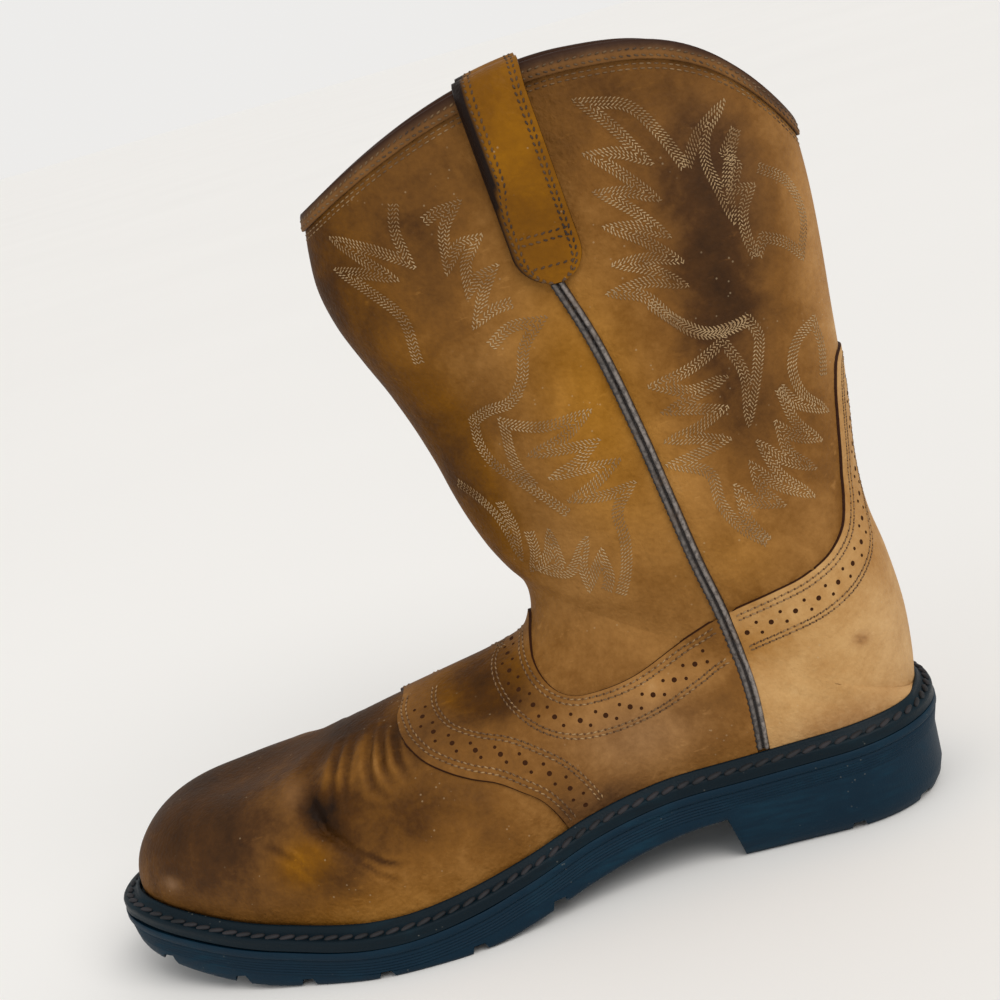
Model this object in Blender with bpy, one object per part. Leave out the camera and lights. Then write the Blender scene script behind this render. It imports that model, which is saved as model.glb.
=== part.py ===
"""Western work boot, left foot, pull-on.

The upper is one hollow leather shell, open at the collar and underneath. Its sections
stand on the seat line of the sole: arches over the foot, closed rings in the shaft.
The toe points along -X, the heel along +X and the outer side of the foot along -Y.
"""
import bmesh
import bpy
import numpy as np
from mathutils import Vector
from mathutils.bvhtree import BVHTree

# Foot and shaft
FOOT_LENGTH = 0.297     # upper at the welt, toe to heel
BALL_WIDTH = 0.095      # upper at the welt, across the ball
INSTEP_HEIGHT = 0.087   # seat at the ball up to the throat
SHAFT_HEIGHT = 0.152    # throat up to the front of the collar
SHAFT_DEPTH = 0.176     # front to back at the collar
SHAFT_WIDTH = 0.076     # side to side at mid shaft
SIDE_RISE = 0.0375      # collar's sides above its front
BACK_FALL = 0.0095      # collar's back below its front, in the last rows
BACK_DIP = 0.004        # shaft's back below its front
TOE_SHIFT = 0.0045      # toe tip toward the big toe
TOE_ROUND = 0.040       # length of the rounded toe
WALL = 0.0024           # leather and lining
# Seat of the upper above the ground
FORE_HEIGHT = 0.017     # under the ball
TOE_SPRING = 0.015      # toe above the ball
HEEL_RISE = 0.0203      # heel above the ball
# Sole
TOE_MARGIN = 0.0085     # welt beyond the upper
WAIST_MARGIN = 0.0058
HEEL_MARGIN = 0.0066
BEAD_HEIGHT = 0.0026    # raised bead of the welt along the upper
BEAD_WIDTH = 0.0016
WELT_THICKNESS = 0.0047
WELT_SLOPE = 0.0012     # drop of the stitched ledge
WELT_EDGE = 0.0012      # least ledge beside the bead
LIP_HEIGHT = 0.0028     # step round the top of the outsole
LIP_DEPTH = 0.0007
SIDE_TAPER = 0.0012     # sole narrower at the ground
TOE_TAPER = 0.0022      # and more so at the toe
TOE_LIFT = 0.0145       # tread under the toe tip
BREAST_HEIGHT = 0.0165  # arch at the front of the heel block
BREAST_PLACE = 0.735    # front of the heel block, along the foot
BREAST_SLOPE = 0.0035
HEEL_TAPER = 0.0058     # heel block narrower at the ground
LUG_GAP = 0.0046        # notches between the lugs
LUG_DEPTH = 0.0030
LUG_REACH = 0.026
# Pieces on the upper
OVERLAY = 0.0011        # saddle and counter leather
PIPING_WIDTH = 0.0058
PIPING_HEIGHT = 0.0016
STRAP_WIDTH = 0.0225
STRAP_THICKNESS = 0.0022
STRAP_STANDOFF = 0.0074  # finger room behind the strap
STRAP_CROWN = 0.0006     # loop above the binding
BINDING_THICKNESS = 0.0010
BINDING_HEIGHT = 0.0048
INSOLE_RISE = 0.0010    # insole above the seat
GAP = 0.0003            # clearance between pieces
SEAM_GAP = 0.00045      # clearance of strips laid on the curved leather
STEPS = 15              # facets up each side of a section
BEND_STEP = 0.014       # extra run for each radian of bend

OUTLINE = (  # place along the foot, outer half, inner half (of the ball width)
    (0.00, 0.320, 0.385), (0.10, 0.369, 0.425), (0.20, 0.447, 0.458), (0.30, 0.540, 0.458),
    (0.38, 0.547, 0.432), (0.48, 0.497, 0.368), (0.58, 0.413, 0.308), (0.68, 0.360, 0.287),
    (0.80, 0.365, 0.315), (0.90, 0.366, 0.338), (1.00, 0.345, 0.340))
SEAT = (  # place along the foot, share of the toe spring, share of the heel rise
    (0.00, 1.00, 0.0), (0.06, 0.72, 0.0), (0.15, 0.33, 0.0), (0.25, 0.06, 0.0),
    (0.35, 0.00, 0.0), (0.43, 0.0, 0.145), (0.50, 0.0, 0.355), (0.58, 0.0, 0.655),
    (0.66, 0.0, 0.825), (0.76, 0.0, 0.885), (0.88, 0.0, 0.945), (1.00, 0.0, 1.00))
FOOT = (  # base x, crown x (foot length), crown z (instep), outer, inner (ball width), widest, fullness
    (0.000, 0.000, 0.540, 0.360, 0.405, 0.30, 2.30),
    (0.101, 0.104, 0.583, 0.418, 0.442, 0.30, 2.25),
    (0.202, 0.202, 0.636, 0.486, 0.478, 0.28, 2.10),
    (0.310, 0.303, 0.680, 0.554, 0.488, 0.27, 1.95),
    (0.404, 0.387, 0.724, 0.545, 0.462, 0.28, 1.85),
    (0.498, 0.461, 0.770, 0.503, 0.430, 0.31, 1.80),
    (0.599, 0.512, 0.805, 0.453, 0.405, 0.36, 1.80),
    (0.707, 0.547, 0.851, 0.418, 0.389, 0.41, 1.80),
    (0.825, 0.567, 0.920, 0.396, 0.384, 0.40, 1.80),
    (0.926, 0.574, 1.000, 0.384, 0.379, 0.35, 1.80))
# Shaft: back x (foot length), back z, depth (shaft depth), front z, outer, inner (width), widest, fullness
SHAFT = (
    (1.0000, 0.000, 0.724, 0.046, 0.467, 0.467, 0.30, 1.85),
    (1.0060, 0.059, 0.760, 0.092, 0.467, 0.467, 0.31, 1.85),
    (1.0085, 0.143, 0.789, 0.151, 0.470, 0.470, 0.33, 1.90),
    (1.0025, 0.236, 0.800, 0.220, 0.476, 0.476, 0.36, 1.95),
    (0.9925, 0.320, 0.801, 0.296, 0.482, 0.482, 0.39, 2.00),
    (0.9916, 0.404, 0.815, 0.378, 0.489, 0.489, 0.42, 2.00),
    (0.9983, 0.483, 0.847, 0.464, 0.494, 0.494, 0.45, 2.00),
    (1.0050, 0.567, 0.885, 0.553, 0.500, 0.500, 0.47, 2.00),
    (1.0095, 0.669, 0.927, 0.648, 0.500, 0.500, 0.50, 2.00),
    (1.0138, 0.767, 0.965, 0.740, 0.493, 0.493, 0.50, 2.00),
    (1.0162, 0.860, 0.985, 0.832, 0.480, 0.480, 0.50, 2.00),
    (1.0158, 0.935, 0.981, 0.921, 0.461, 0.461, 0.50, 2.00),
    (1.0135, 1.000, 0.966, 1.000, 0.447, 0.447, 0.50, 2.00))
HEEL_ROW = len(FOOT)
RIM_ROW = HEEL_ROW + len(SHAFT) - 1
SCALLOP_ROW = 17
RISE_PLACE = 0.594   # highest place of the collar, front to back

# Seams in side view: share of the foot length, share of the height from heel seat to front rim
SIDE_SEAM = ((0.706, 0.800), (0.726, 0.726), (0.749, 0.575), (0.764, 0.445), (0.777, 0.332),
             (0.790, 0.240), (0.797, 0.166), (0.800, 0.104), (0.799, 0.050), (0.797, 0.000))
# Overlay edges on the foot: share of the foot length, height above the heel seat in shares of the instep
FRONT_EDGE = ((0.557, -0.151), (0.551, -0.058), (0.543, 0.018), (0.531, 0.088), (0.511, 0.148),
              (0.489, 0.201), (0.458, 0.244), (0.431, 0.289), (0.402, 0.354), (0.386, 0.420),
              (0.382, 0.460), (0.390, 0.495), (0.410, 0.654))
TOP_EDGE = ((0.525, 0.830), (0.567, 0.714), (0.561, 0.633), (0.559, 0.573), (0.567, 0.500),
            (0.582, 0.450), (0.598, 0.427), (0.625, 0.422), (0.665, 0.437), (0.727, 0.510),
            (0.786, 0.593), (0.851, 0.641), (0.896, 0.671), (0.934, 0.724), (0.954, 0.787),
            (0.964, 0.875), (0.971, 0.988), (0.981, 1.184), (0.989, 1.332), (1.000, 1.433),
            (1.060, 1.483))
STRAP_LINE = ((0.706, 0.818), (0.685, 1.150))   # middle of the pull strap, in the same shares
LUGS = (0.027, 0.121, 0.205, 0.303, 0.417, 0.520)  # notches along the forefoot
HEEL_LUGS = (0.886, 0.975)


def smooth(knots, values, at):
    """Cubic curve through the knots."""
    knots = np.asarray(knots, float)
    values = np.asarray(values, float)
    slope = np.gradient(values, knots)
    step = np.diff(knots)
    i = np.clip(np.searchsorted(knots, at) - 1, 0, len(step) - 1)
    t = (np.asarray(at, float) - knots[i]) / step[i]
    return (values[i] * (1 + 2 * t) * (1 - t) ** 2 + step[i] * slope[i] * t * (1 - t) ** 2
            + values[i + 1] * t * t * (3 - 2 * t) + step[i] * slope[i + 1] * t * t * (t - 1))


def column(table, k):
    return np.array([row[k] for row in table])


def round_off(t, power):
    return (1 - np.clip(t, 0, 1) ** power) ** (1 / power)


def centre_y(share):
    return TOE_SHIFT * np.clip(1 - np.asarray(share) / 0.35, 0, 1) ** 2


def seat_z(share):
    """Height of the upper's lower edge above the ground."""
    rise = column(SEAT, 1) * TOE_SPRING + column(SEAT, 2) * HEEL_RISE
    return FORE_HEIGHT + smooth(column(SEAT, 0), rise, np.clip(share, 0, 1))


def feather_half(share, side):
    """Half width of the upper's lower edge, on one side."""
    half = smooth(column(OUTLINE, 0), column(OUTLINE, 1 if side < 0 else 2), share)
    ends = round_off(1 - share / 0.19, 2.15) * round_off(1 - (1 - share) / 0.125, 2.3)
    return half * BALL_WIDTH * ends


def front_rim_z():
    return FORE_HEIGHT + INSTEP_HEIGHT + SHAFT_HEIGHT


def place(point, on_foot=False):
    """Side-view shares to metres; heights on the foot are shares of the instep."""
    low = float(seat_z(1.0))
    high = INSTEP_HEIGHT if on_foot else front_rim_z() - low
    return point[0] * FOOT_LENGTH, low + point[1] * high


def section_rows():
    """Base x and z, crown x and z, outer and inner half, widest place and fullness."""
    rows = []
    for base, crown, high, outer, inner, widest, full in FOOT:
        rows.append((base * FOOT_LENGTH, 0.0, crown * FOOT_LENGTH, FORE_HEIGHT + high * INSTEP_HEIGHT,
                     outer * BALL_WIDTH, inner * BALL_WIDTH, widest, full))
    throat = FORE_HEIGHT + INSTEP_HEIGHT
    back = throat + SHAFT_HEIGHT - BACK_DIP - float(seat_z(1.0))
    for back_x, back_z, depth, front_z, outer, inner, widest, full in SHAFT:
        rows.append((back_x * FOOT_LENGTH, float(seat_z(1.0)) + back_z * back,
                     back_x * FOOT_LENGTH - depth * SHAFT_DEPTH, throat + front_z * SHAFT_HEIGHT,
                     outer * SHAFT_WIDTH, inner * SHAFT_WIDTH, widest, full))
    return np.array(rows)


ROWS = section_rows()


def row_values(at):
    """The section's values at a row number; the base line turns a corner at the heel."""
    rows = np.arange(len(ROWS), dtype=float)
    part = slice(0, HEEL_ROW + 1) if at <= HEEL_ROW else slice(HEEL_ROW, None)
    base = [float(smooth(rows[part], ROWS[part, k], at)) for k in range(2)]
    return base + [float(smooth(rows, ROWS[:, k], at)) for k in range(2, 8)]


def section_shape(foot, wide, widest, full, ring):
    """Half section: place along the plane and half width, foot to crown."""
    turn = np.linspace(0, np.pi / 2, 160)
    low = widest * ((1 - ring) * turn / (np.pi / 2) + ring * (1 - np.cos(turn)))
    along = np.concatenate([low, widest + (1 - widest) * np.sin(turn[1:]) ** (2 / full)])
    half = np.concatenate([foot + (wide - foot) * np.sin(turn), wide * np.cos(turn[1:]) ** (2 / full)])
    return along, half


def even_steps(along, half, reach):
    """The half section again, in even steps that grow shorter where it bends."""
    step = np.hypot(np.diff(along * reach), np.diff(half))
    way = np.unwrap(np.arctan2(np.diff(half), np.diff(along * reach) + 1e-12))
    bend = np.abs(np.diff(way, prepend=way[0])) * BEND_STEP
    run = np.concatenate([[0], np.cumsum(step + bend * (step.sum() > 0.02))])
    if run[-1] < 1e-9:
        return np.zeros(STEPS + 1), np.zeros(STEPS + 1)
    even = np.linspace(0, run[-1], STEPS + 1)
    return np.interp(even, run, along), np.interp(even, run, half)


def section(at, side):
    """Points of one side of the section at a row number, from its base up to its crown."""
    base_x, base_z, crown_x, crown_z, outer, inner, widest, full = row_values(at)
    share = min(round(base_x / FOOT_LENGTH, 9), 1.0)
    wide = outer if side < 0 else inner
    foot, ring = 0.0, 1.0
    if at <= HEEL_ROW:
        base_z = float(seat_z(share))
        foot = float(feather_half(share, side))
        ring = float(np.clip((share - 0.75) / 0.22, 0, 1))
        ring = ring * ring * (3 - 2 * ring)
        wide *= float(round_off(1 - share / 0.19, 2.15))
        crown_z = base_z + (crown_z - base_z) * float(round_off(1 - base_x / TOE_ROUND, 2.3))
    along, half = section_shape(foot, wide, widest, full, ring)
    along, half = even_steps(along, half, np.hypot(crown_x - base_x, crown_z - base_z))
    points = np.stack([base_x + (crown_x - base_x) * along, centre_y(share) + side * half,
                       base_z + (crown_z - base_z) * along], 1)
    if at > SCALLOP_ROW:
        lift = ((at - SCALLOP_ROW) / (RIM_ROW - SCALLOP_ROW)) ** 1.5
        points[:, 2] += lift * scallop((points[:, 0] - crown_x) / (base_x - crown_x))
    return points


def scallop(back):
    """Rise of the collar at a share of the way from its front to its back."""
    back = np.clip(back, 0, 1)
    ahead = np.clip(1 - back / RISE_PLACE, 0, 1) ** 1.8
    behind = np.clip((back - RISE_PLACE) / (1 - RISE_PLACE), 0, 1) ** 3.1
    return SIDE_RISE * (1 - ahead - behind) - BACK_FALL * back


def stations():
    """Row numbers of the sections, closer together round the toe and the heel."""
    toe = 1.4 * (1 - np.cos(np.linspace(0, np.pi / 2, 7)))
    foot = np.linspace(1.4, 8.7, 14)[1:]
    heel = 8.7 + (HEEL_ROW - 8.7) * np.sin(np.linspace(0, np.pi / 2, 6))[1:]
    shaft = np.linspace(HEEL_ROW, RIM_ROW, 16)[1:]
    return np.concatenate([toe, foot, heel, shaft])


STATIONS = stations()
HEEL_STATION = int(np.argmin(np.abs(STATIONS - HEEL_ROW)))


def upper_grid():
    """Outer surface: one row of points for each station, outer side to inner side."""
    rows = []
    for at in STATIONS:
        outer, inner = section(at, -1), section(at, 1)
        rows.append(np.concatenate([outer, inner[::-1][1:]]))
    return np.array(rows)


def weld(grid):
    """Shared points of a grid, and each grid place's number in that list."""
    found, points, index = {}, [], np.zeros(grid.shape[:2], int)
    for k, j in np.ndindex(*grid.shape[:2]):
        key = tuple(np.round(grid[k, j], 7))
        if key not in found:
            found[key] = len(points)
            points.append(grid[k, j])
        index[k, j] = found[key]
    return np.array(points), index


def grid_faces(index):
    """Faces of the grid, without the corners that fall together."""
    faces = []
    for k in range(index.shape[0] - 1):
        for j in range(index.shape[1] - 1):
            ring = [index[k, j], index[k, j + 1], index[k + 1, j + 1], index[k + 1, j]]
            kept = [v for i, v in enumerate(ring) if v != ring[i - 1]]
            if len(set(kept)) == len(kept) >= 3:
                faces.append(kept)
    return faces


def split_faces(points, faces):
    """Four-sided faces cut along their shorter diagonal, the same way for every layer."""
    cut_faces = []
    for face in faces:
        if len(face) == 3:
            cut_faces.append(face)
            continue
        a, b, c, d = face
        short = np.linalg.norm(points[a] - points[c]) <= np.linalg.norm(points[b] - points[d])
        cut_faces += [[a, b, c], [a, c, d]] if short else [[a, b, d], [b, c, d]]
    return cut_faces


def point_normals(points, faces):
    """Mean outward direction at each point."""
    total = np.zeros_like(points)
    for face in faces:
        ring = points[face]
        area = sum(np.cross(ring[i] - ring[0], ring[i + 1] - ring[0]) for i in range(1, len(ring) - 1))
        total[face] += area
    return total / np.linalg.norm(total, axis=1)[:, None]


class Surface:
    """The upper's outer surface, which the other pieces follow."""

    def __init__(self):
        self.grid = upper_grid()
        self.points, self.index = weld(self.grid)
        self.faces = split_faces(self.points, grid_faces(self.index))
        self.normals = point_normals(self.points, self.faces)
        if self.normals[self.index[-1, STEPS]][0] > 0:
            self.faces = [face[::-1] for face in self.faces]
            self.normals = -self.normals
        self.base = self.base_ring()
        for v in self.base:
            flat = self.normals[v] * (1, 1, 0)
            self.normals[v] = flat / np.linalg.norm(flat)
        self.square_rim()

    def base_ring(self):
        """Numbers of the points on the lower edge, heel along the inner side to the toe and back."""
        outer = [int(self.index[k, 0]) for k in range(HEEL_STATION + 1)]
        inner = [int(self.index[k, -1]) for k in range(HEEL_STATION + 1)]
        return outer + inner[-2:0:-1]

    def square_rim(self):
        """Turn the collar's directions square to the leather below its edge."""
        rim = self.index[-1, :-1]
        self.down = self.points[self.index[-2, :-1]] - self.points[rim]
        self.down /= np.linalg.norm(self.down, axis=1)[:, None]
        out = self.normals[rim]
        out = out - np.sum(out * self.down, 1)[:, None] * self.down
        self.normals[rim] = out / np.linalg.norm(out, axis=1)[:, None]

    def rim_ring(self):
        return [int(v) for v in self.index[-1, :-1]]

    def moved(self, distance):
        """The points moved outward; the lower edge stays on the seat."""
        points = self.points + self.normals * distance
        for v in self.base:
            points[v, 2] = float(seat_z(points[v, 0] / FOOT_LENGTH))
        return points

    def tree(self, distance):
        return BVHTree.FromPolygons(self.moved(distance).tolist(), self.faces)


def new_material(name, colour, roughness, metallic=0.0):
    material = bpy.data.materials.new(name)
    material.use_nodes = True
    shader = material.node_tree.nodes["Principled BSDF"]
    shader.inputs["Base Color"].default_value = (*colour, 1.0)
    shader.inputs["Roughness"].default_value = roughness
    shader.inputs["Metallic"].default_value = metallic
    return material


def new_object(name, points, faces, material):
    """One closed mesh object with its faces pointing out."""
    mesh = bpy.data.meshes.new(name)
    bm = bmesh.new()
    verts = [bm.verts.new(Vector(p)) for p in points]
    for face in faces:
        bm.faces.new([verts[v] for v in face])
    bmesh.ops.recalc_face_normals(bm, faces=bm.faces)
    if bm.calc_volume(signed=True) < 0:
        bmesh.ops.reverse_faces(bm, faces=bm.faces)
    bm.to_mesh(mesh)
    bm.free()
    mesh.shade_smooth()
    mesh.set_sharp_from_angle(angle=0.7)
    mesh.materials.append(material)
    obj = bpy.data.objects.new(name, mesh)
    bpy.context.scene.collection.objects.link(obj)
    return obj


def rim_faces(ring, count):
    return [(ring[i - 1], ring[i], ring[i] + count, ring[i - 1] + count) for i in range(len(ring))]


def shell(name, surface, inner, outer, material):
    """Closed leather shell between two distances from the surface."""
    points = np.concatenate([surface.moved(outer), surface.moved(inner)])
    count = len(surface.points)
    faces = [list(face) for face in surface.faces]
    faces += [[v + count for v in face[::-1]] for face in surface.faces]
    for ring in (surface.base, surface.rim_ring()):
        faces += rim_faces(ring, count)
    return new_object(name, points, faces, material)


def cut(obj, cutter, operation):
    """Boolean with a cutter, applied at once."""
    modifier = obj.modifiers.new(operation.title(), "BOOLEAN")
    modifier.operation = operation
    modifier.solver = "EXACT"
    modifier.use_self = operation == "INTERSECT"
    modifier.object = cutter
    bpy.context.view_layer.update()
    evaluated = obj.evaluated_get(bpy.context.evaluated_depsgraph_get())
    mesh = bpy.data.meshes.new_from_object(evaluated)
    obj.modifiers.remove(modifier)
    obj.data = mesh
    bpy.data.objects.remove(cutter)


def prism(name, outline, half_width, material):
    """A side-view outline drawn out across the foot."""
    near = [(x, -half_width, z) for x, z in outline]
    far = [(x, half_width, z) for x, z in outline]
    count = len(outline)
    faces = [list(range(count)), [v + count for v in range(count)][::-1]]
    faces += [[i, (i + 1) % count, (i + 1) % count + count, i + count] for i in range(count)]
    return new_object(name, near + far, faces, material)


def curve_points(table, count, on_foot=False):
    """Even places along a side-view curve, in metres."""
    knots = np.array([place(p, on_foot) for p in table])
    run = np.concatenate([[0], np.cumsum(np.linalg.norm(np.diff(knots, axis=0), axis=1))])
    even = np.linspace(0, run[-1], count)
    return np.stack([smooth(run, knots[:, 0], even), smooth(run, knots[:, 1], even)], 1)


def seam_x(z):
    """Place of the side seam at a height."""
    seam = curve_points(SIDE_SEAM, 40)[::-1]
    return float(np.interp(z, seam[:, 1], seam[:, 0]))


def bead_line(start, end, count):
    """Side-view line just above the welt's bead."""
    xs = np.linspace(start, end, count)
    return [(x, float(seat_z(x / FOOT_LENGTH)) + BEAD_HEIGHT + GAP) for x in xs]


def seam_line(offset, low, high, count):
    return [(seam_x(z) + offset, z) for z in np.linspace(low, high, count)]


def split_top_edge(offset):
    """The overlay's top edge, before or behind the side seam."""
    edge = curve_points(TOP_EDGE, 46, True)
    behind = np.array([x > seam_x(z) + offset for x, z in edge])
    return [tuple(p) for p in edge[behind == (offset > 0)]]


def saddle_outline():
    slot = PIPING_WIDTH / 2 + GAP
    top = split_top_edge(-slot)
    front = [tuple(p) for p in curve_points(FRONT_EDGE, 26, True)]
    front = [p for p in front if p[1] > float(seat_z(p[0] / FOOT_LENGTH)) + BEAD_HEIGHT + GAP]
    low = float(seat_z(SIDE_SEAM[-1][0])) + BEAD_HEIGHT + GAP
    back = seam_line(-slot, top[-1][1], low, 9)[1:]
    ground = bead_line(back[-1][0], front[0][0], 10)[1:-1]
    return front + top + back + ground


def counter_outline():
    slot = PIPING_WIDTH / 2 + GAP
    top = split_top_edge(slot)
    low = float(seat_z(SIDE_SEAM[-1][0])) + BEAD_HEIGHT + GAP
    front = seam_line(slot, low, top[0][1], 9)[:-1]
    return front + top + bead_line(top[-1][0], front[0][0], 8)[:-1]


def make_overlay(name, surface, outline, material):
    """Leather laid over the upper inside a side-view outline."""
    obj = shell(name, surface, GAP, GAP + OVERLAY, material)
    cut(obj, prism(name + "_outline", outline, BALL_WIDTH, material), "INTERSECT")
    return obj


def margin(share):
    """Width of the welt beyond the upper."""
    knots = (0.0, 0.3, 0.45, 0.6, 0.8, 1.0)
    mix = (0.0, 0.15, 0.55, 1.0, 1.0, 1.0)
    heel = np.clip((np.asarray(share) - 0.8) / 0.2, 0, 1)
    waist = TOE_MARGIN + (WAIST_MARGIN - TOE_MARGIN) * smooth(knots, mix, share)
    return waist + (HEEL_MARGIN - WAIST_MARGIN) * heel


def outline_ring(shares):
    """Lower edge of the upper as a ring: points, outward directions and places."""
    outer = [(s * FOOT_LENGTH, float(centre_y(s) - feather_half(s, -1))) for s in shares]
    inner = [(s * FOOT_LENGTH, float(centre_y(s) + feather_half(s, 1))) for s in shares]
    ring = np.array(outer + inner[-2:0:-1])
    places = np.concatenate([shares, shares[-2:0:-1]])
    tangent = np.roll(ring, -1, 0) - np.roll(ring, 1, 0)
    normal = np.stack([tangent[:, 1], -tangent[:, 0]], 1)
    straight = (places > 0.45) & (places < 0.86)
    normal[straight, 0] = 0
    normal /= np.linalg.norm(normal, axis=1)[:, None]
    return ring, normal * np.sign(np.sum(normal * (ring - ring.mean(0)))), places


def layer(ring, normal, out, z):
    """A ring of points moved outward and set at a height."""
    moved = ring + normal * np.asarray(out).reshape(-1, 1)
    return np.column_stack([moved, np.broadcast_to(z, len(ring))])


def seat_layer(ring, normal, out, rise):
    """A ring of points moved outward, at a height over the seat where it lies."""
    moved = ring + normal * np.asarray(out).reshape(-1, 1)
    return np.column_stack([moved, seat_z(moved[:, 0] / FOOT_LENGTH) + rise])


def tube_faces(layers, count, closed):
    """Side faces between successive rings."""
    faces = []
    for m in range(layers if closed else layers - 1):
        low, high = m * count, ((m + 1) % layers) * count
        faces += [(low + i, low + (i + 1) % count, high + (i + 1) % count, high + i) for i in range(count)]
    return faces


def ladder_faces(start, count):
    """A cap of strips across the foot, side to side."""
    half = count // 2
    faces = []
    for k in range(half):
        ring = [k, k + 1, (count - k - 1) % count, (count - k) % count]
        kept = [v for i, v in enumerate(ring) if v != ring[i - 1]]
        faces.append([start + v for v in kept])
    return faces


def bulge_at(tree, points, normal):
    """How far the upper stands out over each place at the bead's height."""
    bulge = []
    for point, out in zip(points, normal):
        z = float(seat_z(point[0] / FOOT_LENGTH)) + BEAD_HEIGHT
        hit = tree.ray_cast(Vector((*(point + out * 0.03), z)), Vector((*-out, 0.0)), 0.06)
        bulge.append(0.03 - hit[3] if hit[0] else 0.0)
    return np.clip(bulge, 0, None)


def bead_bulge(surface, ring, normal):
    """The bulge at each place, no less than halfway to its neighbours."""
    tree = surface.tree(0.0)
    halfway = bulge_at(tree, (ring + np.roll(ring, -1, 0)) / 2, (normal + np.roll(normal, -1, 0)) / 2)
    return np.maximum(bulge_at(tree, ring, normal), np.maximum(halfway, np.roll(halfway, 1)))


def make_welt(surface, material):
    """Welt with a bead against the upper and a ledge for the stitching."""
    shares = surface.grid[:HEEL_STATION + 1, 0, 0] / FOOT_LENGTH
    ring, normal, places = outline_ring(shares)
    bead = bead_bulge(surface, ring, normal) + GAP + SEAM_GAP
    edge = margin(places)
    foot = np.minimum(bead + BEAD_WIDTH * 1.6, edge - WELT_EDGE)
    inside = np.full(len(ring), -(WALL + GAP))
    layers = [seat_layer(ring, normal, inside, -GAP),
              seat_layer(ring, normal, bead, -GAP),
              seat_layer(ring, normal, bead, BEAD_HEIGHT),
              seat_layer(ring, normal, bead + BEAD_WIDTH * 0.8, BEAD_HEIGHT * 0.88),
              seat_layer(ring, normal, foot, BEAD_HEIGHT * 0.1),
              seat_layer(ring, normal, edge - WELT_EDGE / 2, -WELT_SLOPE * 0.7),
              seat_layer(ring, normal, edge, -WELT_SLOPE),
              seat_layer(ring, normal, edge, -WELT_THICKNESS),
              seat_layer(ring, normal, inside, -WELT_THICKNESS)]
    return new_object("welt", np.concatenate(layers), tube_faces(len(layers), len(ring), True), material)


def make_insole(surface, material):
    """Board that fills the welt's ring and closes the upper's bottom."""
    shares = surface.grid[:HEEL_STATION + 1, 0, 0] / FOOT_LENGTH
    ring, normal, places = outline_ring(shares[1:])
    inset = np.full(len(ring), -(WALL + 3 * GAP))
    layers = [seat_layer(ring, normal, inset, INSOLE_RISE), seat_layer(ring, normal, inset, -WELT_THICKNESS)]
    count = len(ring)
    faces = tube_faces(2, count, False) + ladder_faces(0, count) + ladder_faces(count, count)
    return new_object("insole", np.concatenate(layers), faces, material)


def tread_z(share):
    """Underside of the sole: toe spring, flat ball, arch, heel block on the ground."""
    places = (-0.02, 0.02, 0.07, 0.13, 0.19, 0.24, 0.40, 0.45, 0.50, 0.56, 0.63, 0.70, BREAST_PLACE)
    toe = (1.0, 0.76, 0.48, 0.20, 0.04, 0.0, 0.0, 0.0, 0.0, 0.0, 0.0, 0.0, 0.0)
    arch = (0.0, 0.0, 0.0, 0.0, 0.0, 0.0, 0.0, 0.07, 0.26, 0.54, 0.80, 0.96, 1.0)
    low = np.clip(smooth(places, toe, share), 0, None) * TOE_LIFT
    high = np.clip(smooth(places, arch, share), 0, None) * BREAST_HEIGHT
    heel = share > BREAST_PLACE + 1e-6
    return np.where(heel, 0.0, low + high)


def sole_shares():
    """Places of the outsole's stations, with two at the heel block's front."""
    toe = 0.16 * (1 - np.cos(np.linspace(0, np.pi / 2, 8)))
    foot = np.linspace(0.16, BREAST_PLACE, 14)[1:]
    heel = np.linspace(BREAST_PLACE + BREAST_SLOPE / FOOT_LENGTH, 0.90, 4)
    end = 0.90 + 0.10 * np.sin(np.linspace(0, np.pi / 2, 8))[1:]
    return np.concatenate([toe, foot, heel, end])


def make_outsole(material):
    """One-piece moulded sole with its heel block and the notches between its lugs."""
    ring, normal, places = outline_ring(sole_shares())
    top = seat_z(places) - WELT_THICKNESS - GAP
    edge = margin(places) + GAP
    low = tread_z(places)
    heel = np.clip((places - BREAST_PLACE) / 0.01, 0, 1)
    toe = np.clip(1 - places / 0.16, 0, 1)
    taper = SIDE_TAPER + (HEEL_TAPER - SIDE_TAPER) * heel + TOE_TAPER * toe
    drop = top - LIP_HEIGHT - low
    layers = [layer(ring, normal, edge, top),
              layer(ring, normal, edge, top - LIP_HEIGHT),
              layer(ring, normal, edge - LIP_DEPTH, top - LIP_HEIGHT - LIP_DEPTH),
              layer(ring, normal, edge - LIP_DEPTH - taper * 0.32, low + drop * 0.28),
              layer(ring, normal, edge - LIP_DEPTH - taper * 0.55, low + drop * 0.12),
              layer(ring, normal, edge - LIP_DEPTH - taper, low)]
    count = len(ring)
    last = (len(layers) - 1) * count
    faces = tube_faces(len(layers), count, False) + ladder_faces(0, count) + ladder_faces(last, count)
    obj = new_object("outsole", np.concatenate(layers), faces, material)
    cut(obj, lug_cutter(material), "DIFFERENCE")
    return obj


def lug_cutter(material):
    """Blocks that notch the tread's edge from both sides."""
    points, faces = [], []
    for share in LUGS + HEEL_LUGS:
        for side in (-1, 1):
            add_notch(points, faces, share, side)
    return new_object("lug_cutter", points, faces, material)


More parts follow.
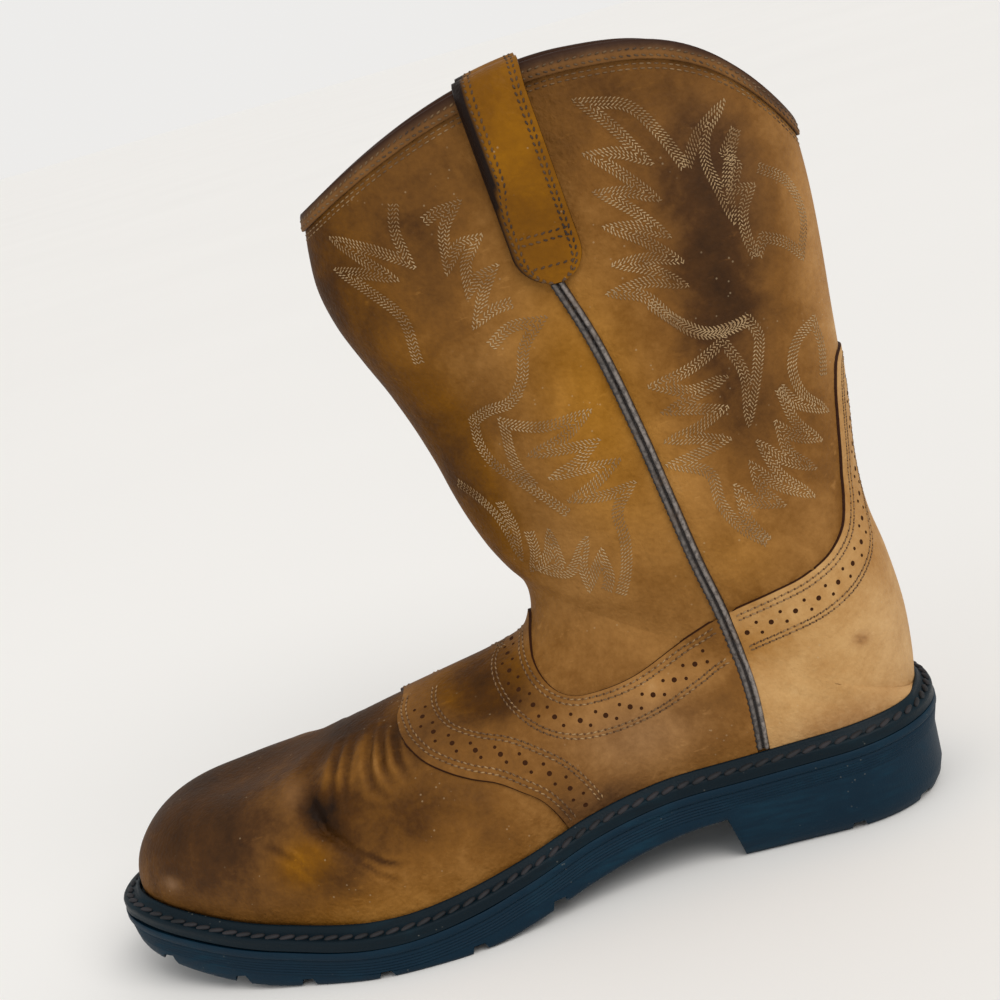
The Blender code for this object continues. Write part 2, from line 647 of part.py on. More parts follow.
def add_notch(points, faces, share, side):
    """One notch, wider at the ground than at its roof."""
    half = float(feather_half(min(max(share, 0.05), 0.97), side)) + float(margin(share))
    middle = float(centre_y(share))
    roof = float(tread_z(np.array(share))) + LUG_DEPTH
    start = len(points)
    for y in (middle + side * (half - LUG_REACH), middle + side * (half + 0.012)):
        for z, wide in ((roof - 0.02, LUG_GAP * 3.2), (roof, LUG_GAP * 0.36)):
            points.extend([(share * FOOT_LENGTH - wide, y, z), (share * FOOT_LENGTH + wide, y, z)])
    for face in ((0, 1, 3, 2), (4, 6, 7, 5), (0, 4, 5, 1), (2, 3, 7, 6), (0, 2, 6, 4), (1, 5, 7, 3)):
        faces.append([start + v for v in face])


def on_side(tree, x, z, side, off):
    """A point a distance off the leather, seen from one side."""
    hit = tree.ray_cast(Vector((x, side * 0.12, z)), Vector((0, -side, 0)), 0.2)
    return hit[0] + hit[1] * off


def make_piping(name, surface, side, material):
    """Low rounded cord along the side seam."""
    tree = surface.tree(0.0)
    low = float(seat_z(SIDE_SEAM[-1][0])) + BEAD_HEIGHT + 3 * GAP
    seam = [p for p in curve_points(SIDE_SEAM, 21) if p[1] > low]
    profile = ((-0.5, 0.0), (-0.42, 0.7), (-0.15, 1.0), (0.15, 1.0), (0.42, 0.7), (0.5, 0.0),
               (0.17, 0.0), (-0.17, 0.0))
    points = []
    for x, z in seam:
        for across, high in profile:
            off = SEAM_GAP + high * PIPING_HEIGHT
            points.append(on_side(tree, x + across * PIPING_WIDTH, z, side, off))
    return new_object(name, points, strip_faces(len(seam), len(profile)), material)


def strip_faces(rows, count):
    """A bar of rows of the same profile, with closed ends."""
    faces = [list(range(count)), [(rows - 1) * count + v for v in range(count)][::-1]]
    for m in range(rows - 1):
        low = m * count
        faces += [(low + i, low + (i + 1) % count, low + count + (i + 1) % count, low + count + i)
                  for i in range(count)]
    return faces


STRAP_OUTSIDE = (  # height (share of the strap's leg), share of the stand-off, share of the width
    (0.00, 0.00, 0.45), (0.05, 0.00, 0.80), (0.14, 0.00, 1.0), (0.27, 0.02, 1.0), (0.38, 0.34, 1.0),
    (0.50, 0.72, 1.0), (0.66, 0.96, 1.0), (0.82, 1.00, 1.0), (0.94, 0.88, 1.0))
STRAP_INSIDE = (
    (0.94, 0.88, 1.0), (0.82, 0.88, 1.0), (0.66, 0.62, 1.0), (0.52, 0.22, 1.0), (0.40, 0.02, 1.0),
    (0.24, 0.00, 1.0))


def strap_line(surface, side, across):
    """Inner face and outer face of the pull strap at one place across it."""
    outside, inside = surface.tree(0.0), surface.tree(-WALL)
    (low_x, low_z), (top_x, top_z) = place(STRAP_LINE[0]), place(STRAP_LINE[1])
    leg = rim_height(surface, top_x, side) - low_z
    near, far = [], []
    for inner, table in enumerate((STRAP_OUTSIDE, STRAP_INSIDE)):
        for high, off, wide in table:
            z = low_z + high * leg
            x = low_x + (top_x - low_x) * high * leg / (top_z - low_z) + across * wide * STRAP_WIDTH
            y = leg_y(inside if inner else outside, x, z, side, inner)
            stand = SEAM_GAP + off * STRAP_STANDOFF
            sign = -side if inner else side
            near.append((x, y + sign * stand, z))
            far.append((x, y + sign * (stand + STRAP_THICKNESS), z))
        if table is STRAP_OUTSIDE:
            crown = loop_crown(near[-1], rim_height(surface, near[-1][0], side), y, side)
            near.extend(crown[0])
            far.extend(crown[1])
    return near, far


def leg_y(tree, x, z, side, inner):
    start = Vector((x, 0.0, z)) if inner else Vector((x, side * 0.12, z))
    direction = Vector((0, side if inner else -side, 0))
    return tree.ray_cast(start, direction, 0.2)[0].y


def rim_height(surface, x, side):
    """Height of the collar's edge at a place along the foot."""
    ring = surface.grid[-1]
    half = ring[:STEPS + 1] if side < 0 else ring[STEPS:]
    order = np.argsort(half[:, 0])
    return float(np.interp(x, half[order, 0], half[order, 2]))


def loop_crown(near, rim_z, wall_y, side):
    """The strap's bend over the collar and its binding."""
    x, _, z = near
    top = rim_z + SEAM_GAP + GAP + BINDING_THICKNESS + STRAP_CROWN
    reach = abs(near[1] - wall_y)
    middle = wall_y - side * WALL / 2
    inner_near, inner_far = [], []
    for turn in (0.30, 0.5, 0.70):
        angle = np.pi * turn
        wide = reach + WALL / 2
        y = middle + side * wide * np.cos(angle)
        inner_near.append((x, y, z + (top - z) * np.sin(angle)))
        y = middle + side * (wide + STRAP_THICKNESS) * np.cos(angle)
        inner_far.append((x, y, z + (top - z + STRAP_THICKNESS) * np.sin(angle)))
    return inner_near, inner_far


def make_strap(name, surface, side, material):
    """Pull strap: stitched outside, standing off as a loop over the collar, stitched inside."""
    across = np.linspace(-0.5, 0.5, 4)
    lines = [strap_line(surface, side, share) for share in across]
    rows = len(lines[0][0])
    points = []
    for k in range(rows):
        points += [line[1][k] for line in lines] + [line[0][k] for line in lines[::-1]]
    return new_object(name, points, strip_faces(rows, 2 * len(across)), material)


def make_binding(surface, material):
    """Folded binding that caps the collar's edge."""
    rim = surface.index[-1, :-1]
    out, down = surface.normals[rim], surface.down
    layers = []
    outer, inner = GAP + BINDING_THICKNESS, -WALL - GAP - BINDING_THICKNESS
    seat = -SEAM_GAP - GAP
    top = seat - BINDING_THICKNESS
    profile = ((GAP, BINDING_HEIGHT), (outer, BINDING_HEIGHT), (outer, seat), (0.0, top), (-WALL, top),
               (inner, seat), (inner, BINDING_HEIGHT), (-WALL - GAP, BINDING_HEIGHT), (-WALL - GAP, seat),
               (GAP, seat))
    for wide, low in profile:
        layers.append(surface.points[rim] + out * wide + down * low)
    faces = tube_faces(len(profile), len(rim), True)
    return new_object("collar_binding", np.concatenate(layers), faces, material)


def centre_on_origin(objects):
    """Stand the boot on z = 0 with its box centred on the origin."""
    points = np.array([v.co for obj in objects for v in obj.data.vertices])
    low, high = points.min(0), points.max(0)
    shift = Vector((-(low[0] + high[0]) / 2, -(low[1] + high[1]) / 2, -low[2]))
    for obj in objects:
        obj.location = shift


def main():
    for obj in list(bpy.data.objects):
        bpy.data.objects.remove(obj)
    leather = new_material("tan_leather", (0.28, 0.12, 0.03), 0.62)
    overlay = new_material("overlay_leather", (0.35, 0.18, 0.07), 0.62)
    strap = new_material("strap_leather", (0.27, 0.09, 0.01), 0.58)
    piping = new_material("grey_piping", (0.06, 0.07, 0.09), 0.5)
    binding = new_material("dark_binding", (0.04, 0.02, 0.015), 0.65)
    rubber = new_material("black_rubber", (0.01, 0.02, 0.03), 0.5)
    welt = new_material("welt_rubber", (0.008, 0.016, 0.024), 0.45)
    board = new_material("insole_fabric", (0.05, 0.035, 0.025), 0.9)
    surface = Surface()
    objects = [shell("upper", surface, -WALL, 0.0, leather),
               make_overlay("saddle", surface, saddle_outline(), overlay),
               make_overlay("counter", surface, counter_outline(), overlay),
               make_piping("side_piping_outer", surface, -1, piping),
               make_piping("side_piping_inner", surface, 1, piping),
               make_strap("pull_strap_outer", surface, -1, strap),
               make_strap("pull_strap_inner", surface, 1, strap),
               make_binding(surface, binding),
               make_welt(surface, welt),
               make_insole(surface, board),
               make_outsole(rubber)]
    centre_on_origin(objects)


main()
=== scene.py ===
"""Worn pull-on western work boot, left foot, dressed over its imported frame.

The leather is one fine surface that follows the boot's own sections. Overlays, piping, straps,
binding, stitches and holes lie on that surface; welt and sole follow its lower edge.
The toe points along -X, the outer side of the foot along -Y and the floor is z = 0.
"""

import logging
import math
from dataclasses import dataclass, field
from enum import Enum
from typing import Optional, Sequence

import bmesh
import bpy
import numpy as np
from mathutils import Matrix, Vector
from mathutils.bvhtree import BVHTree
from mathutils.kdtree import KDTree


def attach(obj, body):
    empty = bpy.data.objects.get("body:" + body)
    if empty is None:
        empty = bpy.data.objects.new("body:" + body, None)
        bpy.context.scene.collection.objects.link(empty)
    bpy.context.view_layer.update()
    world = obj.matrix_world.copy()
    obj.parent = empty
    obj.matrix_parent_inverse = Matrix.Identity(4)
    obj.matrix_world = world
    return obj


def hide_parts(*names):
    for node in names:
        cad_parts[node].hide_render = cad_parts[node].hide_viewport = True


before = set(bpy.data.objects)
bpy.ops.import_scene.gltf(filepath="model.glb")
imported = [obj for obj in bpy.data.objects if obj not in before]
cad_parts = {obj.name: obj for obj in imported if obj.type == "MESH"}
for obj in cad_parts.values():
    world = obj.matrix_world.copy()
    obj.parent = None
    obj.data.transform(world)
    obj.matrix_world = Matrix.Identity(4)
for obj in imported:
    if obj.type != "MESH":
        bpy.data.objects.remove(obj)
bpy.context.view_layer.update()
LOG = logging.getLogger("work_boot")
SHIFT = Vector((-0.14755, 0.003664, 0.0))  # from the toe of the last to the middle of the boot
MM = 0.001
INSIDE = Vector((0.19, 0.0, 0.06))  # a place inside the boot, in the last's frame
MERGE = 2e-6  # points closer than this are one
BESIDE = 0.12  # distance from the middle plane at which sideways rays start


class Side(Enum):
    """Side of the foot, with the sign of its Y."""

    OUTER = -1
    INNER = 1


OUTLINE = np.array((  # place along the foot, outer half, inner half (of the ball width)
    (0.00, 0.320, 0.385), (0.10, 0.369, 0.425), (0.20, 0.447, 0.458), (0.30, 0.540, 0.458),
    (0.38, 0.547, 0.432), (0.48, 0.497, 0.368), (0.58, 0.413, 0.308), (0.68, 0.360, 0.287),
    (0.80, 0.365, 0.315), (0.90, 0.366, 0.338), (1.00, 0.345, 0.340)))
SEAT = np.array((  # place along the foot, share of the toe spring, share of the heel rise
    (0.00, 1.00, 0.0), (0.06, 0.72, 0.0), (0.15, 0.33, 0.0), (0.25, 0.06, 0.0),
    (0.35, 0.00, 0.0), (0.43, 0.0, 0.145), (0.50, 0.0, 0.355), (0.58, 0.0, 0.655),
    (0.66, 0.0, 0.825), (0.76, 0.0, 0.885), (0.88, 0.0, 0.945), (1.00, 0.0, 1.00)))
FOOT = (  # base x, crown x (foot length), crown z (instep), outer, inner (ball width), widest, fullness
    (0.000, 0.000, 0.540, 0.360, 0.405, 0.30, 2.30),
    (0.101, 0.104, 0.583, 0.418, 0.442, 0.30, 2.25),
    (0.202, 0.202, 0.636, 0.486, 0.478, 0.28, 2.10),
    (0.310, 0.303, 0.680, 0.554, 0.488, 0.27, 1.95),
    (0.404, 0.387, 0.724, 0.545, 0.462, 0.28, 1.85),
    (0.498, 0.461, 0.770, 0.503, 0.430, 0.31, 1.80),
    (0.599, 0.512, 0.805, 0.453, 0.405, 0.36, 1.80),
    (0.707, 0.547, 0.851, 0.418, 0.389, 0.41, 1.80),
    (0.825, 0.567, 0.920, 0.396, 0.384, 0.40, 1.80),
    (0.926, 0.574, 1.000, 0.384, 0.379, 0.35, 1.80))
SHAFT = (
    # back x (foot length), back z, depth (shaft depth), front z, outer, inner (width), widest, fullness
    (1.0000, 0.000, 0.724, 0.046, 0.467, 0.467, 0.30, 1.85),
    (1.0060, 0.059, 0.760, 0.092, 0.467, 0.467, 0.31, 1.85),
    (1.0085, 0.143, 0.789, 0.151, 0.470, 0.470, 0.33, 1.90),
    (1.0025, 0.236, 0.800, 0.220, 0.476, 0.476, 0.36, 1.95),
    (0.9925, 0.320, 0.801, 0.296, 0.482, 0.482, 0.39, 2.00),
    (0.9916, 0.404, 0.815, 0.378, 0.489, 0.489, 0.42, 2.00),
    (0.9983, 0.483, 0.847, 0.464, 0.494, 0.494, 0.45, 2.00),
    (1.0050, 0.567, 0.885, 0.553, 0.500, 0.500, 0.47, 2.00),
    (1.0095, 0.669, 0.927, 0.648, 0.500, 0.500, 0.50, 2.00),
    (1.0138, 0.767, 0.965, 0.740, 0.493, 0.493, 0.50, 2.00),
    (1.0162, 0.860, 0.985, 0.832, 0.480, 0.480, 0.50, 2.00),
    (1.0158, 0.935, 0.981, 0.921, 0.461, 0.461, 0.50, 2.00),
    (1.0135, 1.000, 0.966, 1.000, 0.447, 0.447, 0.50, 2.00))
SIDE_SEAM = (  # side view: share of the foot length, share of the height from heel seat to front rim
    (0.705, 0.816), (0.726, 0.726), (0.749, 0.575), (0.764, 0.445), (0.777, 0.332),
    (0.790, 0.240), (0.797, 0.166), (0.800, 0.104), (0.799, 0.050), (0.797, 0.000))
FRONT_EDGE = (  # side view: share of the foot length, share of the instep above the heel seat
    (0.557, -0.151), (0.551, -0.058), (0.543, 0.018), (0.531, 0.088), (0.511, 0.148),
    (0.489, 0.201), (0.458, 0.244), (0.431, 0.289), (0.402, 0.354), (0.386, 0.420),
    (0.382, 0.460), (0.390, 0.495), (0.410, 0.654))
TOP_EDGE = (
    (0.525, 0.830), (0.567, 0.714), (0.561, 0.633), (0.559, 0.573), (0.567, 0.500),
    (0.582, 0.450), (0.598, 0.427), (0.625, 0.422), (0.665, 0.437), (0.727, 0.510),
    (0.786, 0.593), (0.851, 0.641), (0.896, 0.671), (0.934, 0.724), (0.954, 0.787),
    (0.964, 0.875), (0.971, 0.988), (0.981, 1.184), (0.989, 1.332), (1.000, 1.433),
    (1.060, 1.483))
STRAP_LINE = ((0.706, 0.818), (0.685, 1.150))
# lug notches along the sole's edge: shares of the foot length
LUGS = (0.027, 0.121, 0.205, 0.303, 0.417, 0.520)
HEEL_LUGS = (0.886, 0.975)


def smooth(knots: Sequence[float], values: Sequence[float], at: np.ndarray) -> np.ndarray:
    """Cubic curve through the knots.

    Args:
        knots: Places of the knots, rising.
        values: Value at each knot.
        at: Places to read.

    Returns:
        The curve's values.
    """
    knots, values = np.asarray(knots, float), np.asarray(values, float)
    slope, step = np.gradient(values, knots), np.diff(knots)
    i = np.clip(np.searchsorted(knots, at) - 1, 0, len(step) - 1)
    t = (np.asarray(at, float) - knots[i]) / step[i]
    return (values[i] * (1 + 2 * t) * (1 - t) ** 2 + step[i] * slope[i] * t * (1 - t) ** 2
            + values[i + 1] * t * t * (3 - 2 * t) + step[i] * slope[i + 1] * t * t * (t - 1))


def round_off(t: np.ndarray, power: float) -> np.ndarray:
    """Quarter of a rounded square, from 1 at t = 0 down to 0 at t = 1."""
    return (1 - np.clip(t, 0, 1) ** power) ** (1 / power)


def ease(value: np.ndarray, start: float, width: float) -> np.ndarray:
    """Soft step from 0 at the start to 1 a width further on."""
    t = held(value, start, width)
    return t * t * (3 - 2 * t)


def held(value: np.ndarray, start: float, width: float) -> np.ndarray:
    """Share of the way over a width from a start, held between 0 and 1."""
    return np.clip((value - start) / width, 0, 1)


def run_of(points: np.ndarray) -> np.ndarray:
    """Length along a line from its first point to each point."""
    return np.concatenate([[0], np.cumsum(np.linalg.norm(np.diff(points, axis=0), axis=1))])


def read_line(points: np.ndarray, at: np.ndarray, run: np.ndarray) -> np.ndarray:
    """Points of a line at lengths along it."""
    return np.stack([np.interp(at, run, points[:, k]) for k in range(points.shape[1])], 1)


def smooth_line(points: np.ndarray, at: np.ndarray, run: np.ndarray) -> np.ndarray:
    """Points of a smooth curve through a line's points, at lengths along it."""
    return np.stack([smooth(run, points[:, k], at) for k in range(points.shape[1])], 1)


def crowded_start(width: float, count: int) -> np.ndarray:
    """Places from 0 over a width, closer together at its start."""
    return width * (1 - np.cos(np.linspace(0, np.pi / 2, count)))


def crowded_end(start: float, width: float, count: int) -> np.ndarray:
    """Places after a start over a width, closer together at its end."""
    return start + width * np.sin(np.linspace(0, np.pi / 2, count))[1:]


def unit(rows: np.ndarray) -> np.ndarray:
    """Rows of vectors brought to length one."""
    size = np.linalg.norm(rows, axis=-1, keepdims=True)
    return rows / np.where(size < 1e-12, 1.0, size)


@dataclass(frozen=True)
class Last:
    """Sizes of the form that the upper is shaped on, in metres.

    Parts are shares of the foot's length, powers give the roundness of a corner.
    """

    foot_length: float = 0.297
    ball_width: float = 0.095
    instep_height: float = 0.087
    shaft_height: float = 0.152
    shaft_depth: float = 0.176
    shaft_width: float = 0.076
    side_rise: float = 0.0375
    rise_place: float = 0.594
    back_fall: float = 0.0095
    back_dip: float = 0.004
    toe_shift: float = 0.0045
    toe_round: float = 0.040
    toe_part: float = 0.19
    toe_power: float = 2.15
    heel_part: float = 0.125
    heel_power: float = 2.3
    crown_power: float = 2.3
    seat_ring: tuple = (0.75, 0.22)
    scallop_row: int = 17
    wall: float = 0.0024
    still_edge: tuple = (0.003, 0.010)  # height over the seat where the relief sets in, and over what width
    still_rows: float = 1.2
    fore_height: float = 0.017
    toe_spring: float = 0.015
    heel_rise: float = 0.0203
    steps: int = 84

    @property
    def throat(self) -> float:
        """Height of the throat above the ground."""
        return self.fore_height + self.instep_height

    @property
    def heel_row(self) -> int:
        """Number of the section that stands at the heel."""
        return len(FOOT)

    @property
    def rim_row(self) -> int:
        """Number of the section at the collar."""
        return len(FOOT) + len(SHAFT) - 1

    def centre_y(self, share: np.ndarray) -> np.ndarray:
        """Middle of the foot at a place along it."""
        return self.toe_shift * np.clip(1 - np.asarray(share) / 0.35, 0, 1) ** 2

    def seat_z(self, share: np.ndarray) -> np.ndarray:
        """Height of the upper's lower edge at a place along the foot."""
        rise = SEAT[:, 1] * self.toe_spring + SEAT[:, 2] * self.heel_rise
        return self.fore_height + smooth(SEAT[:, 0], rise, np.clip(share, 0, 1))

    def seat_at(self, x: np.ndarray) -> np.ndarray:
        """Height of the upper's lower edge at a length along the foot."""
        return self.seat_z(x / self.foot_length)

    def feather_half(self, share: np.ndarray, side: Side) -> np.ndarray:
        """Half width of the upper's lower edge on one side."""
        half = smooth(OUTLINE[:, 0], OUTLINE[:, 1 if side is Side.OUTER else 2], share)
        toe = round_off(1 - share / self.toe_part, self.toe_power)
        ends = toe * round_off(1 - (1 - share) / self.heel_part, self.heel_power)
        return half * self.ball_width * ends

    def place(self, share: Sequence[float], on_foot: bool = False) -> tuple[float, float]:
        """Side-view shares as x and z in metres."""
        low = float(self.seat_z(1.0))
        high = self.instep_height if on_foot else self.throat + self.shaft_height - low
        return share[0] * self.foot_length, low + share[1] * high

    def curve(self, table: Sequence, count: int, on_foot: bool = False) -> np.ndarray:
        """Even places along a side-view table, in metres.

        Args:
            table: Rows of side-view shares.
            count: Number of places.
            on_foot: Heights are shares of the instep.

        Returns:
            Rows of x and z.
        """
        knots = np.array([self.place(row, on_foot) for row in table])
        run = run_of(knots)
        return smooth_line(knots, np.linspace(0, run[-1], count), run)

    def scallop(self, back: np.ndarray) -> np.ndarray:
        """Rise of the collar at a share of the way from its front to its back."""
        back = np.clip(back, 0, 1)
        ahead = np.clip(1 - back / self.rise_place, 0, 1) ** 1.8
        behind = np.clip((back - self.rise_place) / (1 - self.rise_place), 0, 1) ** 3.1
        return self.side_rise * (1 - ahead - behind) - self.back_fall * back

    def section_table(self) -> np.ndarray:
        """Base x and z, crown x and z, outer and inner half, widest place and fullness of each section."""
        rows = []
        for base, crown, high, outer, inner, widest, full in FOOT:
            rows.append((base * self.foot_length, 0.0, crown * self.foot_length,
                         self.fore_height + high * self.instep_height,
                         outer * self.ball_width, inner * self.ball_width, widest, full))
        seat = float(self.seat_z(1.0))
        back = self.throat + self.shaft_height - self.back_dip - seat
        for back_x, back_z, depth, front_z, outer, inner, widest, full in SHAFT:
            rows.append((back_x * self.foot_length, seat + back_z * back,
                         back_x * self.foot_length - depth * self.shaft_depth,
                         self.throat + front_z * self.shaft_height,
                         outer * self.shaft_width, inner * self.shaft_width, widest, full))
        return np.array(rows)


class SectionForm:
    """Sections of the upper, read at any row number."""

    def __init__(self, last: Last) -> None:
        """Keeps the last and its table of sections."""
        self.last = last
        self.table = last.section_table()

    def values(self, at: float) -> list[float]:
        """The section's values; the base line turns a corner at the heel."""
        rows = np.arange(len(self.table), dtype=float)
        heel = self.last.heel_row
        part = slice(0, heel + 1) if at <= heel else slice(heel, None)
        base = [float(smooth(rows[part], self.table[part, k], at)) for k in range(2)]
        return base + [float(smooth(rows, self.table[:, k], at)) for k in range(2, 8)]

    def half(self, foot: float, wide: float, widest: float, full: float,
             ring: float) -> tuple[np.ndarray, np.ndarray]:
        """Half section: place along the plane and half width, foot to crown."""
        turn = np.linspace(0, np.pi / 2, 200)
        low = widest * ((1 - ring) * turn / (np.pi / 2) + ring * (1 - np.cos(turn)))
        along = np.concatenate([low, widest + (1 - widest) * np.sin(turn[1:]) ** (2 / full)])
        out = np.concatenate([foot + (wide - foot) * np.sin(turn), wide * np.cos(turn[1:]) ** (2 / full)])
        return along, out

    def even(self, along: np.ndarray, out: np.ndarray, reach: float) -> tuple[np.ndarray, np.ndarray]:
        """The half section again in even steps."""
        run = np.concatenate([[0], np.cumsum(np.hypot(np.diff(along * reach), np.diff(out)))])
        if run[-1] < 1e-9:
            return np.zeros(self.last.steps + 1), np.zeros(self.last.steps + 1)
        steps = np.linspace(0, run[-1], self.last.steps + 1)
        return np.interp(steps, run, along), np.interp(steps, run, out)

    def points(self, at: float, side: Side) -> np.ndarray:
        """One side of the section, from its base up to its crown."""
        last = self.last
        base_x, base_z, crown_x, crown_z, outer, inner, widest, full = self.values(at)
        share = min(round(base_x / last.foot_length, 9), 1.0)
        wide = outer if side is Side.OUTER else inner
        foot, ring = 0.0, 1.0
        if at <= last.heel_row:
            base_z = float(last.seat_z(share))
            foot = float(last.feather_half(share, side))
            ring = float(ease(share, *last.seat_ring))
            wide *= float(round_off(1 - share / last.toe_part, last.toe_power))
            crown = float(round_off(1 - base_x / last.toe_round, last.crown_power))
            crown_z = base_z + (crown_z - base_z) * crown
        along, out = self.half(foot, wide, widest, full, ring)
        along, out = self.even(along, out, np.hypot(crown_x - base_x, crown_z - base_z))
        points = np.stack([base_x + (crown_x - base_x) * along, last.centre_y(share) + side.value * out,
                           base_z + (crown_z - base_z) * along], 1)
        if at > last.scallop_row:
            lift = ((at - last.scallop_row) / (last.rim_row - last.scallop_row)) ** 1.5
            points[:, 2] += lift * last.scallop((points[:, 0] - crown_x) / (base_x - crown_x))
        return points


@dataclass(frozen=True)
class Fold:
    """Soft trough along a line on the leather, with a low ridge on each side.

    The line's points are x, y, z in millimetres from the toe of the last.
    """

    line: tuple
    depth: float
    width: float
    ridge: float = 0.3

    def push(self, points: np.ndarray) -> np.ndarray:
        """How far each point moves outward, in metres."""
        knots = np.asarray(self.line, float) * MM
        nearest = np.full(len(points), 1e9)
        along = np.zeros(len(points))
        run = run_of(knots)
        for k in range(len(knots) - 1):
            way = knots[k + 1] - knots[k]
            t = np.clip((points - knots[k]) @ way / (way @ way), 0, 1)
            off = np.linalg.norm(points - knots[k] - t[:, None] * way, axis=1)
            closer = off < nearest
            nearest = np.where(closer, off, nearest)
            along = np.where(closer, (run[k] + t * np.linalg.norm(way)) / run[-1], along)
        fade = np.sin(np.pi * np.clip(along, 0.04, 0.96)) ** 0.6
        width = self.width * MM
        trough = np.exp(-(nearest / width) ** 2)
        bank = np.exp(-((nearest - 2.1 * width) / width) ** 2)
        return (-trough + self.ridge * bank) * fade * self.depth * MM


@dataclass(frozen=True)
class Swell:
    """Soft hollow or bulge round a place, in millimetres; a hollow has a height below zero."""

    centre: tuple
    reach: tuple
    height: float

    def push(self, points: np.ndarray) -> np.ndarray:
        """How far each point moves outward, in metres."""
        off = (points / MM - np.asarray(self.centre, float)) / np.asarray(self.reach, float)
        return np.exp(-np.sum(off * off, 1)) * self.height * MM


def mirrored(relief: Sequence, shift: float = 2.0) -> list:
    """The same relief on the inner side, a little further forward or back."""
    made = []
    for item in relief:
        if isinstance(item, Fold):
            kept = item.line[1:] if len(item.line) > 3 else item.line
            line = tuple((x + shift, -y * 0.93, z + shift * 0.4) for x, y, z in kept)
            made.append(Fold(line, item.depth * 0.5, item.width, item.ridge))
        else:
            x, y, z = item.centre
            made.append(Swell((x + shift, -y, z), item.reach, item.height * 0.85))
    return made


CREASES = (
    Fold(((81, -16, 72), (77.5, -24, 68.5), (76.7, -35.6, 61.3), (81, -43.8, 53.6),
          (88.8, -49.2, 46.6), (95, -51.3, 41)), 2.5, 3.8, 0.35),
    Fold(((78.6, -34, 62), (81, -43.8, 53.6), (88.8, -49.2, 46.6), (92, -50.5, 43)), 1.5, 1.3, 0.2),
    Fold(((91, -14, 74.5), (89.8, -20, 72), (88.4, -27, 68.5), (86.2, -40, 59)), 1.1, 1.5, 0.6),
    Fold(((95.5, -15, 75), (94.2, -22, 72), (92.6, -29, 68.5), (90.6, -38, 61)), 0.8, 1.4, 0.6),
    Fold(((103.6, -15, 76.5), (102.3, -23, 73), (101, -32, 67), (101.6, -38.4, 62.3), (105, -41.5, 60)),
         1.2, 1.5, 0.7),
    Fold(((107.5, -16, 77), (106.6, -24, 73.4), (106.2, -33, 67), (108.6, -39, 62)), 1.0, 1.4, 0.7),
    Fold(((112, -18, 76.5), (111.5, -26, 72.5), (112, -34, 67), (114.5, -39, 62.5)), 0.8, 1.4, 0.6),
    Fold(((92, -50, 45), (99, -52, 40), (107, -52.5, 37)), 0.45, 1.0, 0.4),
    Fold(((91, -50, 42), (97, -52, 36), (104, -53, 32)), 0.35, 0.9, 0.4),
    Fold(((60, -41, 52), (68, -44, 46), (76, -47, 38)), 0.35, 1.3, 0.4),
    Fold(((54, -41, 45), (60, -43, 38), (70, -46, 33)), 0.3, 1.2, 0.4),
    Fold(((68, -45, 38), (74, -47, 33), (84, -50, 29)), 0.3, 1.1, 0.4),
    Fold(((119, -46, 50), (131, -47.5, 46), (143, -47, 40)), 0.5, 2.6, 0.4),
    Fold(((262, -36, 50), (271, -33, 60), (279, -29, 72)), 0.35, 1.6, 0.5),
    Fold(((268, -35, 46), (278, -31, 58), (284, -27, 68)), 0.3, 1.4, 0.5),
    Fold(((243, -37, 62), (256, -36, 52), (266, -34, 46)), 0.3, 2.0, 0.4),
)
DENTS = (
    Swell((58, -26, 64), (15, 13, 12), 0.7),
    Swell((66, 0, 73), (34, 26, 10), -2.6),
    Swell((46, 4, 69), (24, 26, 12), -2.0),
    Swell((90, -42, 58), (9, 12, 9), -1.6),
    Swell((148, -26, 77.5), (13, 9, 6), -2.6),
    Swell((160, -6, 94), (7, 12, 6), -1.0),
    Swell((164, -27, 178), (15, 13, 20), -2.0),
    Swell((150, -22, 206), (18, 14, 12), 1.2),
    Swell((188, -32, 160), (13, 14, 24), 1.2),
    Swell((182, -26, 126), (12, 10, 12), -1.1),
    Swell((200, -32, 102), (16, 10, 12), 1.2),
    Swell((262, -33, 160), (16, 12, 36), -1.4),
    Swell((283, -24, 205), (12, 12, 24), 0.9),
    Swell((236, -37, 118), (16, 12, 14), 0.9),
    Swell((205, -38, 56), (22, 10, 9), -0.9),
    Swell((228, -37, 52), (12, 10, 10), 0.6),
    Swell((270, -33, 78), (12, 10, 10), 0.5),
)
SHAFT_FOLDS = (
    Fold(((150, -12, 176), (162, -24, 172), (178, -30, 176)), 0.8, 6.0, 0.4),
    Fold(((158, -16, 142), (170, -25, 138), (184, -29, 133)), 0.8, 5.0, 0.4),
    Fold(((159, -6, 118), (168, -18, 116), (180, -25, 116)), 0.6, 4.0, 0.4),
    Fold(((161, -3, 106), (170, -15, 104), (182, -23, 106)), 0.5, 3.0, 0.4),
    Fold(((296, -8, 118), (286, -20, 122), (272, -29, 122)), 0.5, 5.0, 0.4),
)


